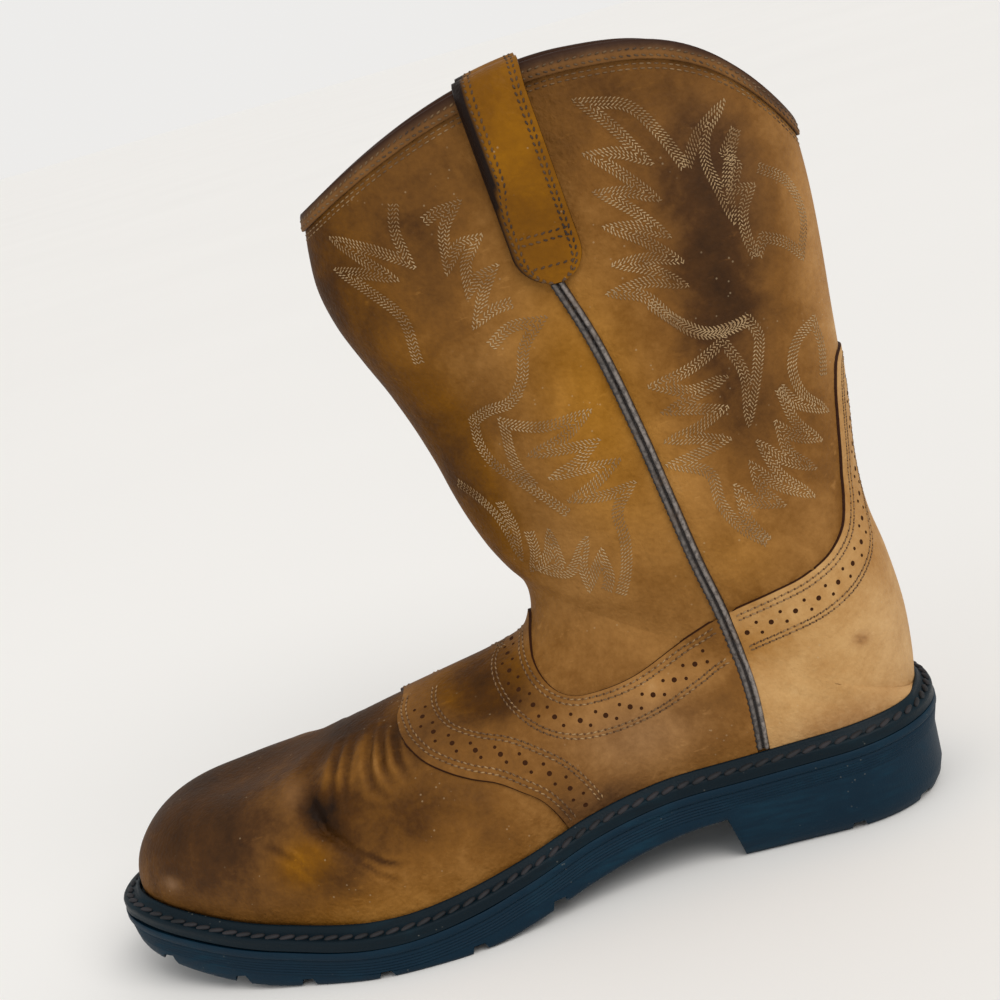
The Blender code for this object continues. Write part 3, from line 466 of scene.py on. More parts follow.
class Leather:
    """The upper's worn outer surface as a fine grid, which every other piece follows."""

    def __init__(self, last: Last) -> None:
        """Builds the grid, its outward directions and the trees for finding places on it."""
        self.last = last
        self.form = SectionForm(last)
        self.rows = self.stations()
        self.heel = int(np.argmin(np.abs(self.rows - last.heel_row)))
        plain = np.array([self.ring(at) for at in self.rows])
        self.plain = plain
        relief = [*CREASES, *DENTS, *SHAFT_FOLDS, *mirrored(CREASES[:8]), *mirrored(CREASES[11:], -2.0),
                  *mirrored(DENTS), *mirrored(SHAFT_FOLDS, -3.0)]
        self.normals = self.outward(plain)
        flat = plain.reshape(-1, 3)
        push = sum(item.push(flat) for item in relief).reshape(plain.shape[:2])
        self.grid = plain + self.normals * (push * self.hold(plain))[..., None]
        self.normals = self.outward(self.grid)
        self.tree = self.tree_of(self.grid)
        self.lookup = KDLookup(self.grid.reshape(-1, 3), self.normals.reshape(-1, 3))

    def stations(self) -> np.ndarray:
        """Row numbers of the grid's rings, closer together round the toe and the heel."""
        toe_end, heel_start = 1.4, 8.7
        toe = crowded_start(toe_end, 34)
        foot = np.linspace(toe_end, heel_start, 196)[1:]
        heel = crowded_end(heel_start, self.last.heel_row - heel_start, 22)
        shaft = np.linspace(self.last.heel_row, self.last.rim_row, 124)[1:]
        return np.concatenate([toe, foot, heel, shaft])

    def ring(self, at: float) -> np.ndarray:
        """One ring of points, outer base over the crown to inner base."""
        outer, inner = self.form.points(at, Side.OUTER), self.form.points(at, Side.INNER)
        return np.concatenate([outer, inner[::-1][1:]])

    def hold(self, plain: np.ndarray) -> np.ndarray:
        """Share of the relief that is kept: none at the welt and at the collar."""
        over_seat = plain[..., 2] - self.last.seat_at(plain[..., 0])
        kept = held(over_seat, *self.last.still_edge)
        below_rim = (self.last.rim_row - self.rows) / self.last.still_rows
        return kept * np.clip(below_rim, 0, 1)[:, None]

    def outward(self, grid: np.ndarray) -> np.ndarray:
        """Outward direction at each point of the grid."""
        normal = np.cross(np.gradient(grid, axis=0), np.gradient(grid, axis=1))
        size = np.linalg.norm(normal, axis=-1)
        normal = unit(normal)
        for k in range(len(grid)):
            if size[k].max() < 1e-12:
                normal[k] = normal[k + 1]
        closed = slice(self.heel, None)
        seam = unit(normal[closed, 0] + normal[closed, -1])
        normal[closed, 0] = normal[closed, -1] = seam
        return normal * (1 if normal[self.heel // 2, 10, 1] < 0 else -1)

    def tree_of(self, grid: np.ndarray) -> BVHTree:
        """Tree of a grid's faces."""
        along, across = grid.shape[:2]
        index = np.arange(along * across).reshape(along, across)
        quads = np.stack([index[:-1, :-1], index[:-1, 1:], index[1:, 1:], index[1:, :-1]], -1).reshape(-1, 4)
        return BVHTree.FromPolygons(grid.reshape(-1, 3).tolist(), quads.tolist())

    def read(self, values: np.ndarray, along: np.ndarray, across: np.ndarray) -> np.ndarray:
        """Values of a grid between its points.

        Args:
            values: Grid of vectors.
            along: Ring numbers, with fractions.
            across: Point numbers in the ring, with fractions.

        Returns:
            One vector for each place.
        """
        k = np.clip(along.astype(int), 0, values.shape[0] - 2)
        j = np.clip(across.astype(int), 0, values.shape[1] - 2)
        a, b = (along - k)[:, None], (across - j)[:, None]
        low = values[k, j] * (1 - b) + values[k, j + 1] * b
        high = values[k + 1, j] * (1 - b) + values[k + 1, j + 1] * b
        return low * (1 - a) + high * a

    def at(self, rows: np.ndarray, ways: np.ndarray, side: Side) -> np.ndarray:
        """Places on the leather at row numbers and shares of the way from the back to the front."""
        along = np.interp(rows, self.rows, np.arange(len(self.rows)))
        across = np.asarray(ways) * self.last.steps
        if side is Side.INNER:
            across = self.grid.shape[1] - 1 - across
        return self.read(self.grid, along, across)

    def nearest(self, points: np.ndarray) -> tuple[np.ndarray, np.ndarray]:
        """Nearest places on the leather and the outward directions there."""
        found = [self.tree.find_nearest(Vector(p)) for p in points]
        places = np.array([f[0] for f in found])
        return places, unit(self.facing(places, np.array([f[1] for f in found])))

    def facing(self, places: np.ndarray, normals: np.ndarray) -> np.ndarray:
        """Directions turned to point away from the inside."""
        reference = self.lookup.near(places)
        sign = np.sign(np.sum(normals * reference, 1))
        return unit(normals * sign[:, None] * 0.3 + reference)

    def beside(self, x: float, z: float, side: Side) -> Optional[Vector]:
        """Place on the leather that a ray from the side meets."""
        return self.tree.ray_cast(Vector((x, side.value * BESIDE, z)), Vector((0, -side.value, 0)), 0.2)[0]

    def from_side(self, line: np.ndarray, side: Side,
                  past_middle: float = 0.012) -> tuple[np.ndarray, np.ndarray]:
        """Places on the leather under a side-view line, as far as the line meets its own side."""
        found = []
        for x, z in line:
            place = self.beside(x, z, side)
            if place is not None and place.y * side.value > -past_middle:
                found.append(place)
        return self.nearest(np.array(found))


class KDLookup:
    """Finds the stored direction nearest to a place."""

    def __init__(self, points: np.ndarray, values: np.ndarray) -> None:
        """Fills the tree."""
        self.values = values
        self.tree = KDTree(len(points))
        for k, point in enumerate(points):
            self.tree.insert(point, k)
        self.tree.balance()

    def near(self, places: np.ndarray) -> np.ndarray:
        """The value stored nearest to each place."""
        return np.array([self.values[self.tree.find(p)[1]] for p in places])


def net(points: np.ndarray, close: bool = False) -> bmesh.types.BMesh:
    """A grid wrapped onto a net of points, with its doubles merged.

    Args:
        points: Rows of rings of points.
        close: Join the last point of each ring to its first.

    Returns:
        The wrapped mesh.
    """
    if close:
        points = np.concatenate([points, points[:, :1]], 1)
    size = np.array(points.shape[:2]) - 1
    bm = bmesh.new()
    bmesh.ops.create_grid(bm, x_segments=size[0], y_segments=size[1], size=1.0)
    share = np.array([v.co[:2] for v in bm.verts]) * 0.5 + 0.5
    rows, columns = np.rint(share * size).astype(int).T
    for vert, point in zip(bm.verts, points[rows, columns]):
        vert.co = point
    bmesh.ops.remove_doubles(bm, verts=bm.verts, dist=MERGE)
    return bm


def turn_out(bm: bmesh.types.BMesh, inward: bool = False) -> None:
    """Turn an open sheet's faces away from the inside of the boot, or towards it."""
    total = sum(f.normal.dot(f.calc_center_median() - INSIDE) * f.calc_area() for f in bm.faces)
    if (total < 0) != inward:
        bmesh.ops.reverse_faces(bm, faces=bm.faces)


def close_up(bm: bmesh.types.BMesh) -> None:
    """Fill the open ends of a closed bar and turn its faces out."""
    ends = [e for e in bm.edges if e.is_boundary]
    if ends:
        bmesh.ops.holes_fill(bm, edges=ends, sides=0)
    bmesh.ops.recalc_face_normals(bm, faces=bm.faces)


def join(parts: Sequence[bmesh.types.BMesh]) -> bmesh.types.BMesh:
    """Several meshes in one, with shared points merged."""
    whole = bmesh.new()
    for part in parts:
        mesh = loose_mesh("part", part)
        whole.from_mesh(mesh)
        bpy.data.meshes.remove(mesh)
    bmesh.ops.remove_doubles(whole, verts=whole.verts, dist=MERGE)
    return whole


def in_scene(name: str, data: bpy.types.ID) -> bpy.types.Object:
    """A new object in the scene."""
    item = bpy.data.objects.new(name, data)
    bpy.context.scene.collection.objects.link(item)
    return item


def loose_mesh(name: str, bm: bmesh.types.BMesh) -> bpy.types.Mesh:
    """A mesh with a bmesh's faces; the bmesh is freed."""
    mesh = bpy.data.meshes.new(name)
    bm.to_mesh(mesh)
    bm.free()
    return mesh


def dress(name: str, bm: bmesh.types.BMesh, material: bpy.types.Material,
          nodes: Sequence[str] = (), sharp: float = 0.9) -> bpy.types.Object:
    """A finished piece from a mesh in the last's frame.

    Args:
        name: Name of the piece.
        bm: Its mesh, freed here.
        material: Its material.
        nodes: Nodes of the frame that it stands for.
        sharp: Angle past which edges stay sharp, in radians.

    Returns:
        The object.
    """
    mesh = loose_mesh(name, bm)
    mesh.transform(Matrix.Translation(SHIFT))
    mesh.shade_smooth()
    mesh.set_sharp_from_angle(angle=sharp)
    mesh.materials.append(material)
    piece = in_scene(name, mesh)
    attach(piece, "root")
    if nodes:
        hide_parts(*nodes)
    LOG.info("%s: %d faces", name, len(mesh.polygons))
    return piece


def store(piece: bpy.types.Object, name: str, values: np.ndarray) -> None:
    """Keep one number for each point of a piece, for its material."""
    layer = piece.data.attributes.new(name, "FLOAT", "POINT")
    layer.data.foreach_set("value", np.asarray(values, np.float32))


def points_of(piece: bpy.types.Object) -> np.ndarray:
    """The points of a piece in the last's frame."""
    flat = np.zeros(len(piece.data.vertices) * 3)
    piece.data.vertices.foreach_get("co", flat)
    return flat.reshape(-1, 3) - np.array(SHIFT)


Colour = tuple[float, float, float]


def linear(red: int, green: int, blue: int) -> tuple[float, float, float, float]:
    """A display colour, 0 to 255, as the shader's linear colour."""
    return (*(pow(c / 255, 2.2) for c in (red, green, blue)), 1.0)


class Bench:
    """Places and wires the nodes of one material or node group."""

    def __init__(self, tree: bpy.types.NodeTree) -> None:
        """Keeps the tree."""
        self.tree = tree

    def add(self, kind: str, **settings: object) -> bpy.types.Node:
        """A node with its settings."""
        node = self.tree.nodes.new(kind)
        for name, value in settings.items():
            setattr(node, name, value)
        return node

    def wire(self, source: object, target: bpy.types.NodeSocket) -> None:
        """Link a socket, or set the socket's own value."""
        if isinstance(source, bpy.types.NodeSocket):
            self.tree.links.new(source, target)
        else:
            target.default_value = source

    def math(self, operation: str, a: object, b: object = 0.0, clamp: bool = False) -> bpy.types.NodeSocket:
        """A sum on one or two values."""
        node = self.add("ShaderNodeMath", operation=operation, use_clamp=clamp)
        self.wire(a, node.inputs[0])
        self.wire(b, node.inputs[1])
        return node.outputs[0]

    def noise(self, vector: object, scale: object, detail: float = 4.0, rough: float = 0.55,
              distort: float = 0.0) -> bpy.types.NodeSocket:
        """Cloud pattern from 0 to 1."""
        node = self.add("ShaderNodeTexNoise")
        self.wire(vector, node.inputs["Vector"])
        self.wire(scale, node.inputs["Scale"])
        node.inputs["Detail"].default_value = detail
        node.inputs["Roughness"].default_value = rough
        node.inputs["Distortion"].default_value = distort
        return node.outputs["Fac"]

    def cells(self, vector: object, scale: object, feature: str = "F1") -> bpy.types.NodeSocket:
        """Distance pattern of scattered cells."""
        node = self.add("ShaderNodeTexVoronoi", feature=feature)
        self.wire(vector, node.inputs["Vector"])
        self.wire(scale, node.inputs["Scale"])
        return node.outputs["Distance"]

    def blend(self, share: object, a: object, b: object) -> bpy.types.NodeSocket:
        """Two colours mixed by a share."""
        node = self.add("ShaderNodeMix", data_type="RGBA")
        self.wire(share, node.inputs[0])
        self.wire(a, node.inputs[6])
        self.wire(b, node.inputs[7])
        return node.outputs[2]

    def span(self, value: object, low: float, high: float, to_low: float = 0.0,
             to_high: float = 1.0) -> bpy.types.NodeSocket:
        """A value moved from one range to another, smoothly and held at its ends."""
        node = self.add("ShaderNodeMapRange", interpolation_type="SMOOTHSTEP")
        self.wire(value, node.inputs["Value"])
        for name, number in (("From Min", low), ("From Max", high), ("To Min", to_low), ("To Max", to_high)):
            node.inputs[name].default_value = number
        return node.outputs["Result"]

    def ramp(self, value: object, stops: Sequence) -> bpy.types.NodeSocket:
        """A colour read from stops of place and colour."""
        node = self.add("ShaderNodeValToRGB")
        band = node.color_ramp.elements
        while len(band) < len(stops):
            band.new(0.5)
        for element, (place, colour) in zip(band, stops):
            element.position = place
            element.color = colour
        self.wire(value, node.inputs[0])
        return node.outputs[0]

    def own(self, name: str) -> bpy.types.NodeSocket:
        """A number stored on the piece."""
        return self.add("ShaderNodeAttribute", attribute_name=name).outputs["Fac"]

    def place(self) -> bpy.types.NodeSocket:
        """Object coordinates."""
        return self.add("ShaderNodeTexCoord").outputs["Object"]

    def stretch(self, vector: object, scale: Colour, turn: Colour = (0.0, 0.0, 0.0)) -> bpy.types.NodeSocket:
        """Coordinates turned and stretched."""
        node = self.add("ShaderNodeMapping")
        self.wire(vector, node.inputs["Vector"])
        node.inputs["Scale"].default_value = scale
        node.inputs["Rotation"].default_value = turn
        return node.outputs["Vector"]

    def bump(self, height: object, distance: float, strength: float) -> bpy.types.NodeSocket:
        """A normal raised by a height."""
        node = self.add("ShaderNodeBump")
        node.inputs["Distance"].default_value = distance
        node.inputs["Strength"].default_value = strength
        self.wire(height, node.inputs["Height"])
        return node.outputs["Normal"]

    def group(self, tree: bpy.types.NodeTree, **inputs: object) -> bpy.types.Node:
        """A node group with its inputs wired or set."""
        node = self.add("ShaderNodeGroup")
        node.node_tree = tree
        for name, source in inputs.items():
            self.wire(source, node.inputs[name])
        return node


class GroupBench(Bench):
    """Bench of one new node group, with a Vector and a Scale input and one output."""

    def __init__(self, name: str, output: str, **extra: float) -> None:
        """Makes the group.

        Args:
            name: Name of the group.
            output: Name of its output value.
            extra: Further inputs with their defaults.
        """
        super().__init__(bpy.data.node_groups.new(name, "ShaderNodeTree"))
        self.tree.interface.new_socket("Vector", in_out="INPUT", socket_type="NodeSocketVector")
        for label, value in {"Scale": 1.0, **extra}.items():
            socket = self.tree.interface.new_socket(label, in_out="INPUT", socket_type="NodeSocketFloat")
            socket.default_value = value
        self.tree.interface.new_socket(output, in_out="OUTPUT", socket_type="NodeSocketFloat")
        self.inputs = self.add("NodeGroupInput").outputs
        self.vector = self.inputs["Vector"]
        self.result = self.add("NodeGroupOutput").inputs[output]

    def scaled(self, scale: float) -> bpy.types.NodeSocket:
        """A pattern's scale times the group's Scale."""
        return self.math("MULTIPLY", self.inputs["Scale"], scale)

    def done(self, value: bpy.types.NodeSocket) -> bpy.types.NodeTree:
        """Wire the result and hand over the group."""
        self.wire(value, self.result)
        return self.tree


class Effects:
    """Node groups that several finishes share."""

    def __init__(self) -> None:
        """Builds each group once."""
        self.mottling = self.make_mottling()
        self.grain = self.make_grain()
        self.specks = self.make_specks()
        self.rubbing = self.make_rubbing()

    def make_mottling(self) -> bpy.types.NodeTree:
        """Uneven tone of oiled leather: broad clouds, patches and fine flecks, about zero."""
        b = GroupBench("Mottling", "Tone")
        total = 0.0
        for scale, detail, rough, distort, share in ((17.0, 3.0, 0.5, 0.6, 0.55), (62.0, 5.0, 0.6, 0.4, 0.5),
                                                     (420.0, 3.0, 0.6, 0.0, 0.22)):
            cloud = b.noise(b.vector, b.scaled(scale), detail, rough, distort)
            total = b.math("ADD", total, b.math("MULTIPLY", b.math("SUBTRACT", cloud, 0.5), share))
        return b.done(total)

    def make_grain(self) -> bpy.types.NodeTree:
        """Pebbled leather grain with fine wrinkles between the pebbles, as a height."""
        b = GroupBench("Leather Grain", "Height")
        moved = b.add("ShaderNodeVectorMath", operation="ADD")
        b.wire(b.vector, moved.inputs[0])
        b.wire(b.math("MULTIPLY", b.noise(b.vector, b.scaled(300.0), 2.0), 0.0016), moved.inputs[1])
        pebble = b.cells(moved.outputs[0], b.scaled(760.0), "SMOOTH_F1")
        pore = b.noise(b.vector, b.scaled(2400.0), 2.0)
        slack = b.noise(b.vector, b.scaled(130.0), 4.0, 0.6, 0.8)
        height = b.math("ADD", b.math("MULTIPLY", pebble, -0.55), b.math("MULTIPLY", pore, 0.25))
        return b.done(b.math("ADD", height, b.math("MULTIPLY", slack, 1.1)))

    def make_specks(self) -> bpy.types.NodeTree:
        """Scattered specks of dust and grit, as a mask."""
        b = GroupBench("Dust Specks", "Mask", Amount=0.5)
        dots = b.span(b.cells(b.vector, b.scaled(210.0)), 0.07, 0.13, 1.0, 0.0)
        where = b.span(b.noise(b.vector, b.scaled(33.0), 2.0), 0.52, 0.62)
        return b.done(b.math("MULTIPLY", b.math("MULTIPLY", dots, where), b.inputs["Amount"]))

    def make_rubbing(self) -> bpy.types.NodeTree:
        """Thin scuffs that run along one way of the coordinates, as a mask."""
        b = GroupBench("Rubbing", "Mask")
        drawn = b.stretch(b.vector, (0.22, 1.0, 1.0), (0.2, 0.5, 0.3))
        lines = b.noise(drawn, b.scaled(330.0), 4.0, 0.65, 0.3)
        where = b.noise(b.vector, b.scaled(26.0), 3.0)
        return b.done(b.math("MULTIPLY", b.span(lines, 0.60, 0.72), b.span(where, 0.46, 0.62)))


class MaterialBench(Bench):
    """Bench of one new material."""

    def __init__(self, name: str) -> None:
        """Makes the material and finds its shader."""
        self.material = bpy.data.materials.new(name)
        self.material.use_nodes = True
        super().__init__(self.material.node_tree)
        self.shader = self.tree.nodes["Principled BSDF"]

    def coat(self, colour: object, rough: object, normal: Optional[bpy.types.NodeSocket] = None,
             specular: float = 0.5) -> bpy.types.Material:
        """Wire the shader and hand over the material."""
        self.wire(colour, self.shader.inputs["Base Color"])
        self.wire(rough, self.shader.inputs["Roughness"])
        self.shader.inputs["Specular IOR Level"].default_value = specular
        if normal is not None:
            self.wire(normal, self.shader.inputs["Normal"])
        return self.material


@dataclass(frozen=True)
class LeatherFinish:
    """Oiled pull-up leather, lighter and darker in patches that the piece stores as tone: its own wear and
    tone, with painted shade and highlight in creases, hollows and low parts.
    """

    name: str
    stops: tuple = ((0.0, linear(33, 20, 7)), (0.2, linear(74, 47, 19)), (0.4, linear(119, 80, 36)),
                    (0.6, linear(160, 115, 63)), (0.8, linear(193, 152, 100)), (1.0, linear(216, 184, 136)))
    roughness: float = 0.62
    grain: float = 0.00064
    mottling: float = 0.62
    # dark edge colour: edge dye, and painted shadow where a piece's edge share marks a shadow line
    edge: tuple = linear(52, 30, 18)
    specular: float = 0.13

    def material(self, effects: Effects) -> bpy.types.Material:
        """The finish as a material."""
        b = MaterialBench(self.name)
        place = b.place()
        mottle = b.group(effects.mottling, Vector=place).outputs["Tone"]
        tone = b.math("ADD", b.own("tone"), b.math("MULTIPLY", mottle, self.mottling))
        rubbed = b.group(effects.rubbing, Vector=place).outputs["Mask"]
        tone = b.math("ADD", tone, b.math("MULTIPLY", rubbed, 0.09), clamp=True)
        colour = b.ramp(tone, self.stops)
        tint = b.add("ShaderNodeHueSaturation")
        b.wire(b.math("ADD", 1.0, b.own("warmth")), tint.inputs["Saturation"])
        b.wire(colour, tint.inputs["Color"])
        specks = b.group(effects.specks, Vector=place, Scale=1.4, Amount=0.3).outputs["Mask"]
        colour = b.blend(specks, tint.outputs[0], linear(186, 164, 130))
        # the stored edge share mixes in the dark edge colour: edge dye and painted shadow lines
        colour = b.blend(b.own("edge"), colour, self.edge)
        rough = b.math("ADD", self.roughness, b.math("MULTIPLY", mottle, 0.25))
        height = b.group(effects.grain, Vector=place).outputs["Height"]
        return b.coat(colour, rough, b.bump(height, self.grain, 0.8), self.specular)


@dataclass(frozen=True)
class RubberFinish:
    """Black rubber with a blue-green cast, dusted in patches and streaks."""

    name: str
    base: tuple = linear(13, 27, 35)
    dust: tuple = linear(46, 66, 72)
    roughness: float = 0.5
    specular: float = 0.16

    def material(self, effects: Effects) -> bpy.types.Material:
        """The finish as a material."""
        b = MaterialBench(self.name)
        place = b.place()
        cloud = b.noise(place, 34.0, 5.0, 0.6, 0.5)
        drag = b.noise(b.stretch(place, (0.25, 0.25, 1.6)), 300.0, 4.0, 0.6)
        mask = b.math("MULTIPLY", b.span(cloud, 0.42, 0.72), b.span(drag, 0.35, 0.7), clamp=True)
        colour = b.blend(b.math("MULTIPLY", mask, 0.6), self.base, self.dust)
        specks = b.group(effects.specks, Vector=place, Scale=1.7, Amount=0.35).outputs["Mask"]
        colour = b.blend(specks, colour, linear(120, 120, 112))
        rough = b.math("ADD", self.roughness, b.math("MULTIPLY", mask, 0.22))
        height = b.math("ADD", b.noise(place, 1500.0, 3.0, 0.6), b.math("MULTIPLY", drag, 0.8))
        return b.coat(colour, rough, b.bump(height, 0.00022, 0.6), self.specular)


@dataclass(frozen=True)
class ThreadFinish:
    """Waxed sewing thread."""

    name: str
    base: tuple
    worn: tuple
    roughness: float = 0.7

    def material(self, effects: Effects) -> bpy.types.Material:
        """The finish as a material."""
        b = MaterialBench(self.name)
        place = b.place()
        patch = b.noise(place, 70.0, 4.0, 0.6)
        colour = b.blend(b.span(patch, 0.35, 0.66), self.base, self.worn)
        return b.coat(colour, self.roughness, b.bump(b.noise(place, 2600.0, 2.0), 0.0001, 0.5))


@dataclass(frozen=True)
class ClothFinish:
    """Plain woven or brushed lining."""

    name: str
    base: tuple
    light: tuple
    threads: float = 150.0
    roughness: float = 0.9

    def material(self, effects: Effects) -> bpy.types.Material:
        """The finish as a material."""
        b = MaterialBench(self.name)
        place = b.place()
        first = b.add("ShaderNodeTexWave", bands_direction="X")
        second = b.add("ShaderNodeTexWave", bands_direction="Y")
        for wave in (first, second):
            b.wire(place, wave.inputs["Vector"])
            wave.inputs["Scale"].default_value = self.threads
            wave.inputs["Distortion"].default_value = 0.6
        weave = b.math("MULTIPLY", first.outputs["Fac"], second.outputs["Fac"])
        cloud = b.noise(place, 28.0, 4.0, 0.6)
        share = b.math("ADD", b.math("MULTIPLY", weave, 0.4), b.math("MULTIPLY", cloud, 0.5))
        height = b.math("ADD", weave, b.noise(place, 1800.0, 2.0))
        return b.coat(b.blend(share, self.base, self.light), self.roughness, b.bump(height, 0.00025, 0.7))


@dataclass(frozen=True)
class PipingFinish:
    """Dyed seam welting, rubbed grey along its ridge and black beside it."""

    name: str = "grey_piping"
    dark: tuple = linear(34, 28, 26)
    rubbed: tuple = linear(132, 124, 118)
    roughness: float = 0.5

    def material(self, effects: Effects) -> bpy.types.Material:
        """The finish as a material."""
        b = MaterialBench(self.name)
        place = b.place()
        wear = b.noise(place, 620.0, 4.0, 0.7)
        share = b.math("MULTIPLY", b.own("ridge"), b.span(wear, 0.36, 0.60, 0.25, 1.0))
        colour = b.blend(share, self.dark, self.rubbed)
        brown = b.math("MULTIPLY", b.span(b.noise(place, 90.0, 3.0), 0.5, 0.7), 0.45)
        colour = b.blend(brown, colour, linear(82, 62, 44))
        height = b.group(effects.grain, Vector=place, Scale=1.4).outputs["Height"]
        return b.coat(colour, self.roughness, b.bump(height, 0.0004, 0.6))


@dataclass(frozen=True)
class PlainFinish:
    """Even matt surface, a little uneven in tone, for the studio floor and the painted shade of the punched
    holes.
    """

    name: str
    base: tuple
    roughness: float = 0.9
    specular: float = 0.15

    def material(self, effects: Effects) -> bpy.types.Material:
        """The finish as a material."""
        b = MaterialBench(self.name)
        shade = tuple(c * 0.82 for c in self.base[:3]) + (1.0,)
        share = b.math("MULTIPLY", b.noise(b.place(), 1.2, 3.0), 0.25)
        return b.coat(b.blend(share, self.base, shade), self.roughness, specular=self.specular)


@dataclass(frozen=True)
class Tone:
    """A patch of lighter or darker, warmer or greyer leather colour, some patches painted shade; millimetres,
    the same on both sides.
    """

    centre: tuple
    reach: tuple
    tone: float
    warmth: float = 0.0


# partly the leather's own tone and wear, partly painted shade: the dark patch at 84, 38, 58 is painted shade
# in the main crease, the darker patches at 80, 50, 37 and 110, 47, 52 painted shade low on the vamp
BODY_TONES_AND_SHADE = (
    Tone((30, 12, 60), (42, 55, 40), -0.28, -0.05), Tone((48, 30, 60), (20, 18, 16), -0.08, -0.10),
    Tone((84, 53, 22), (46, 16, 11), 0.08, 0.12), Tone((72, 46, 44), (11, 9, 8), 0.14, 0.35),
    Tone((84, 38, 58), (9, 10, 9), -0.36, 0.2), Tone((92, 5, 76), (28, 26, 11), -0.37, 0.15),
    Tone((73, 31, 65), (5, 9, 6), 0.10, -0.20), Tone((18, 27, 41), (4, 7, 3), 0.20, -0.5),
    Tone((110, 47, 52), (22, 12, 14), -0.18, 0.1), Tone((118, 25, 74), (12, 14, 9), -0.08),
    Tone((80, 50, 37), (18, 8, 9), -0.14), Tone((20, 25, 50), (20, 20, 14), -0.06),
    Tone((141, 0, 225), (20, 26, 48), -0.30, 0.3), Tone((158, 14, 152), (14, 22, 40), -0.16, 0.5),
    Tone((210, 38, 172), (20, 16, 48), 0.12, 0.28), Tone((188, 28, 108), (22, 16, 22), 0.14, 0.0),
    Tone((262, 33, 205), (15, 20, 42), -0.28, -0.10), Tone((272, 28, 238), (16, 16, 24), -0.14, -0.15),
    Tone((256, 33, 160), (12, 16, 26), -0.12), Tone((297, 0, 188), (9, 26, 60), 0.25, -0.10),
    Tone((245, 36, 108), (18, 14, 16), 0.08, 0.10), Tone((250, 30, 272), (34, 26, 12), -0.10),
    Tone((172, 25, 250), (16, 16, 26), -0.12), Tone((233, 37, 140), (14, 14, 30), 0.11, 0.05),
    Tone((215, 36, 92), (24, 10, 12), 0.08, 0.0),
)
# partly the leather's own tone, partly painted shade: the dark patch at 146, 14, 83 is painted shade in the
# instep hollow, the one at 178, 42, 34 painted shade low on the saddle
SADDLE_TONES_AND_SHADE = (
    Tone((146, 14, 83), (13, 16, 7), -0.20, 0.9), Tone((150, 30, 76), (12, 8, 5), -0.16),
    Tone((196, 38, 56), (26, 14, 14), 0.09, -0.25), Tone((206, 36, 72), (26, 12, 7), 0.18, 0.0),
    Tone((178, 42, 34), (22, 12, 9), -0.16, -0.2), Tone((125, 20, 74), (10, 18, 9), -0.03, -0.05),
    Tone((160, 30, 80), (8, 12, 8), -0.04), Tone((152, 46, 44), (12, 10, 10), -0.06),
)
# partly the leather's own tone, partly painted shade: the darker patch at 268, 36, 38 is painted shade low on
# the counter
COUNTER_TONES_AND_SHADE = (
    Tone((292, 10, 60), (16, 30, 26), 0.10, -0.15), Tone((285, 15, 110), (16, 20, 24), -0.08),
    Tone((246, 36, 76), (14, 12, 8), -0.10, 0.05), Tone((279, 30, 67), (3, 4, 2), -0.30, -0.3),
    Tone((268, 36, 38), (22, 14, 9), -0.17, -0.25), Tone((242, 36, 44), (10, 12, 12), 0.03),
)
STRAP_TONES = (
    Tone((205, 42, 240), (16, 12, 10), -0.03), Tone((214, 42, 268), (14, 14, 8), 0.04),
    Tone((204, 42, 256), (10, 12, 12), 0.04),
)


def paint(piece: bpy.types.Object, base: object, tones: Sequence[Tone], warmth: float = 0.0,
          edge: Optional[np.ndarray] = None) -> None:
    """Store the leather's tone, partly painted shade, its warmth and its dark edge, partly painted shadow, on
    a piece.

    Args:
        piece: The leather piece.
        base: Its tone where no patch lies, 0 dark to 1 pale: a number, or one for each point.
        tones: Patches added to it, some of them painted shade.
        warmth: Its warmth where no patch lies.
        edge: Share of the dark edge colour at each point: edge dye, with painted shadow beside the overlays'
            edges and in the straps' open loops.
    """
    points = points_of(piece) / MM
    points[:, 1] = np.abs(points[:, 1])
    tone, warm = np.zeros(len(points)) + base, np.full(len(points), warmth)
    for patch in tones:
        off = (points - np.asarray(patch.centre, float)) / np.asarray(patch.reach, float)
        near = np.exp(-np.sum(off * off, 1))
        tone += near * patch.tone
        warm += near * patch.warmth * 0.35
    store(piece, "tone", tone)
    store(piece, "warmth", warm)
    store(piece, "edge", np.zeros(len(points)) if edge is None else edge)


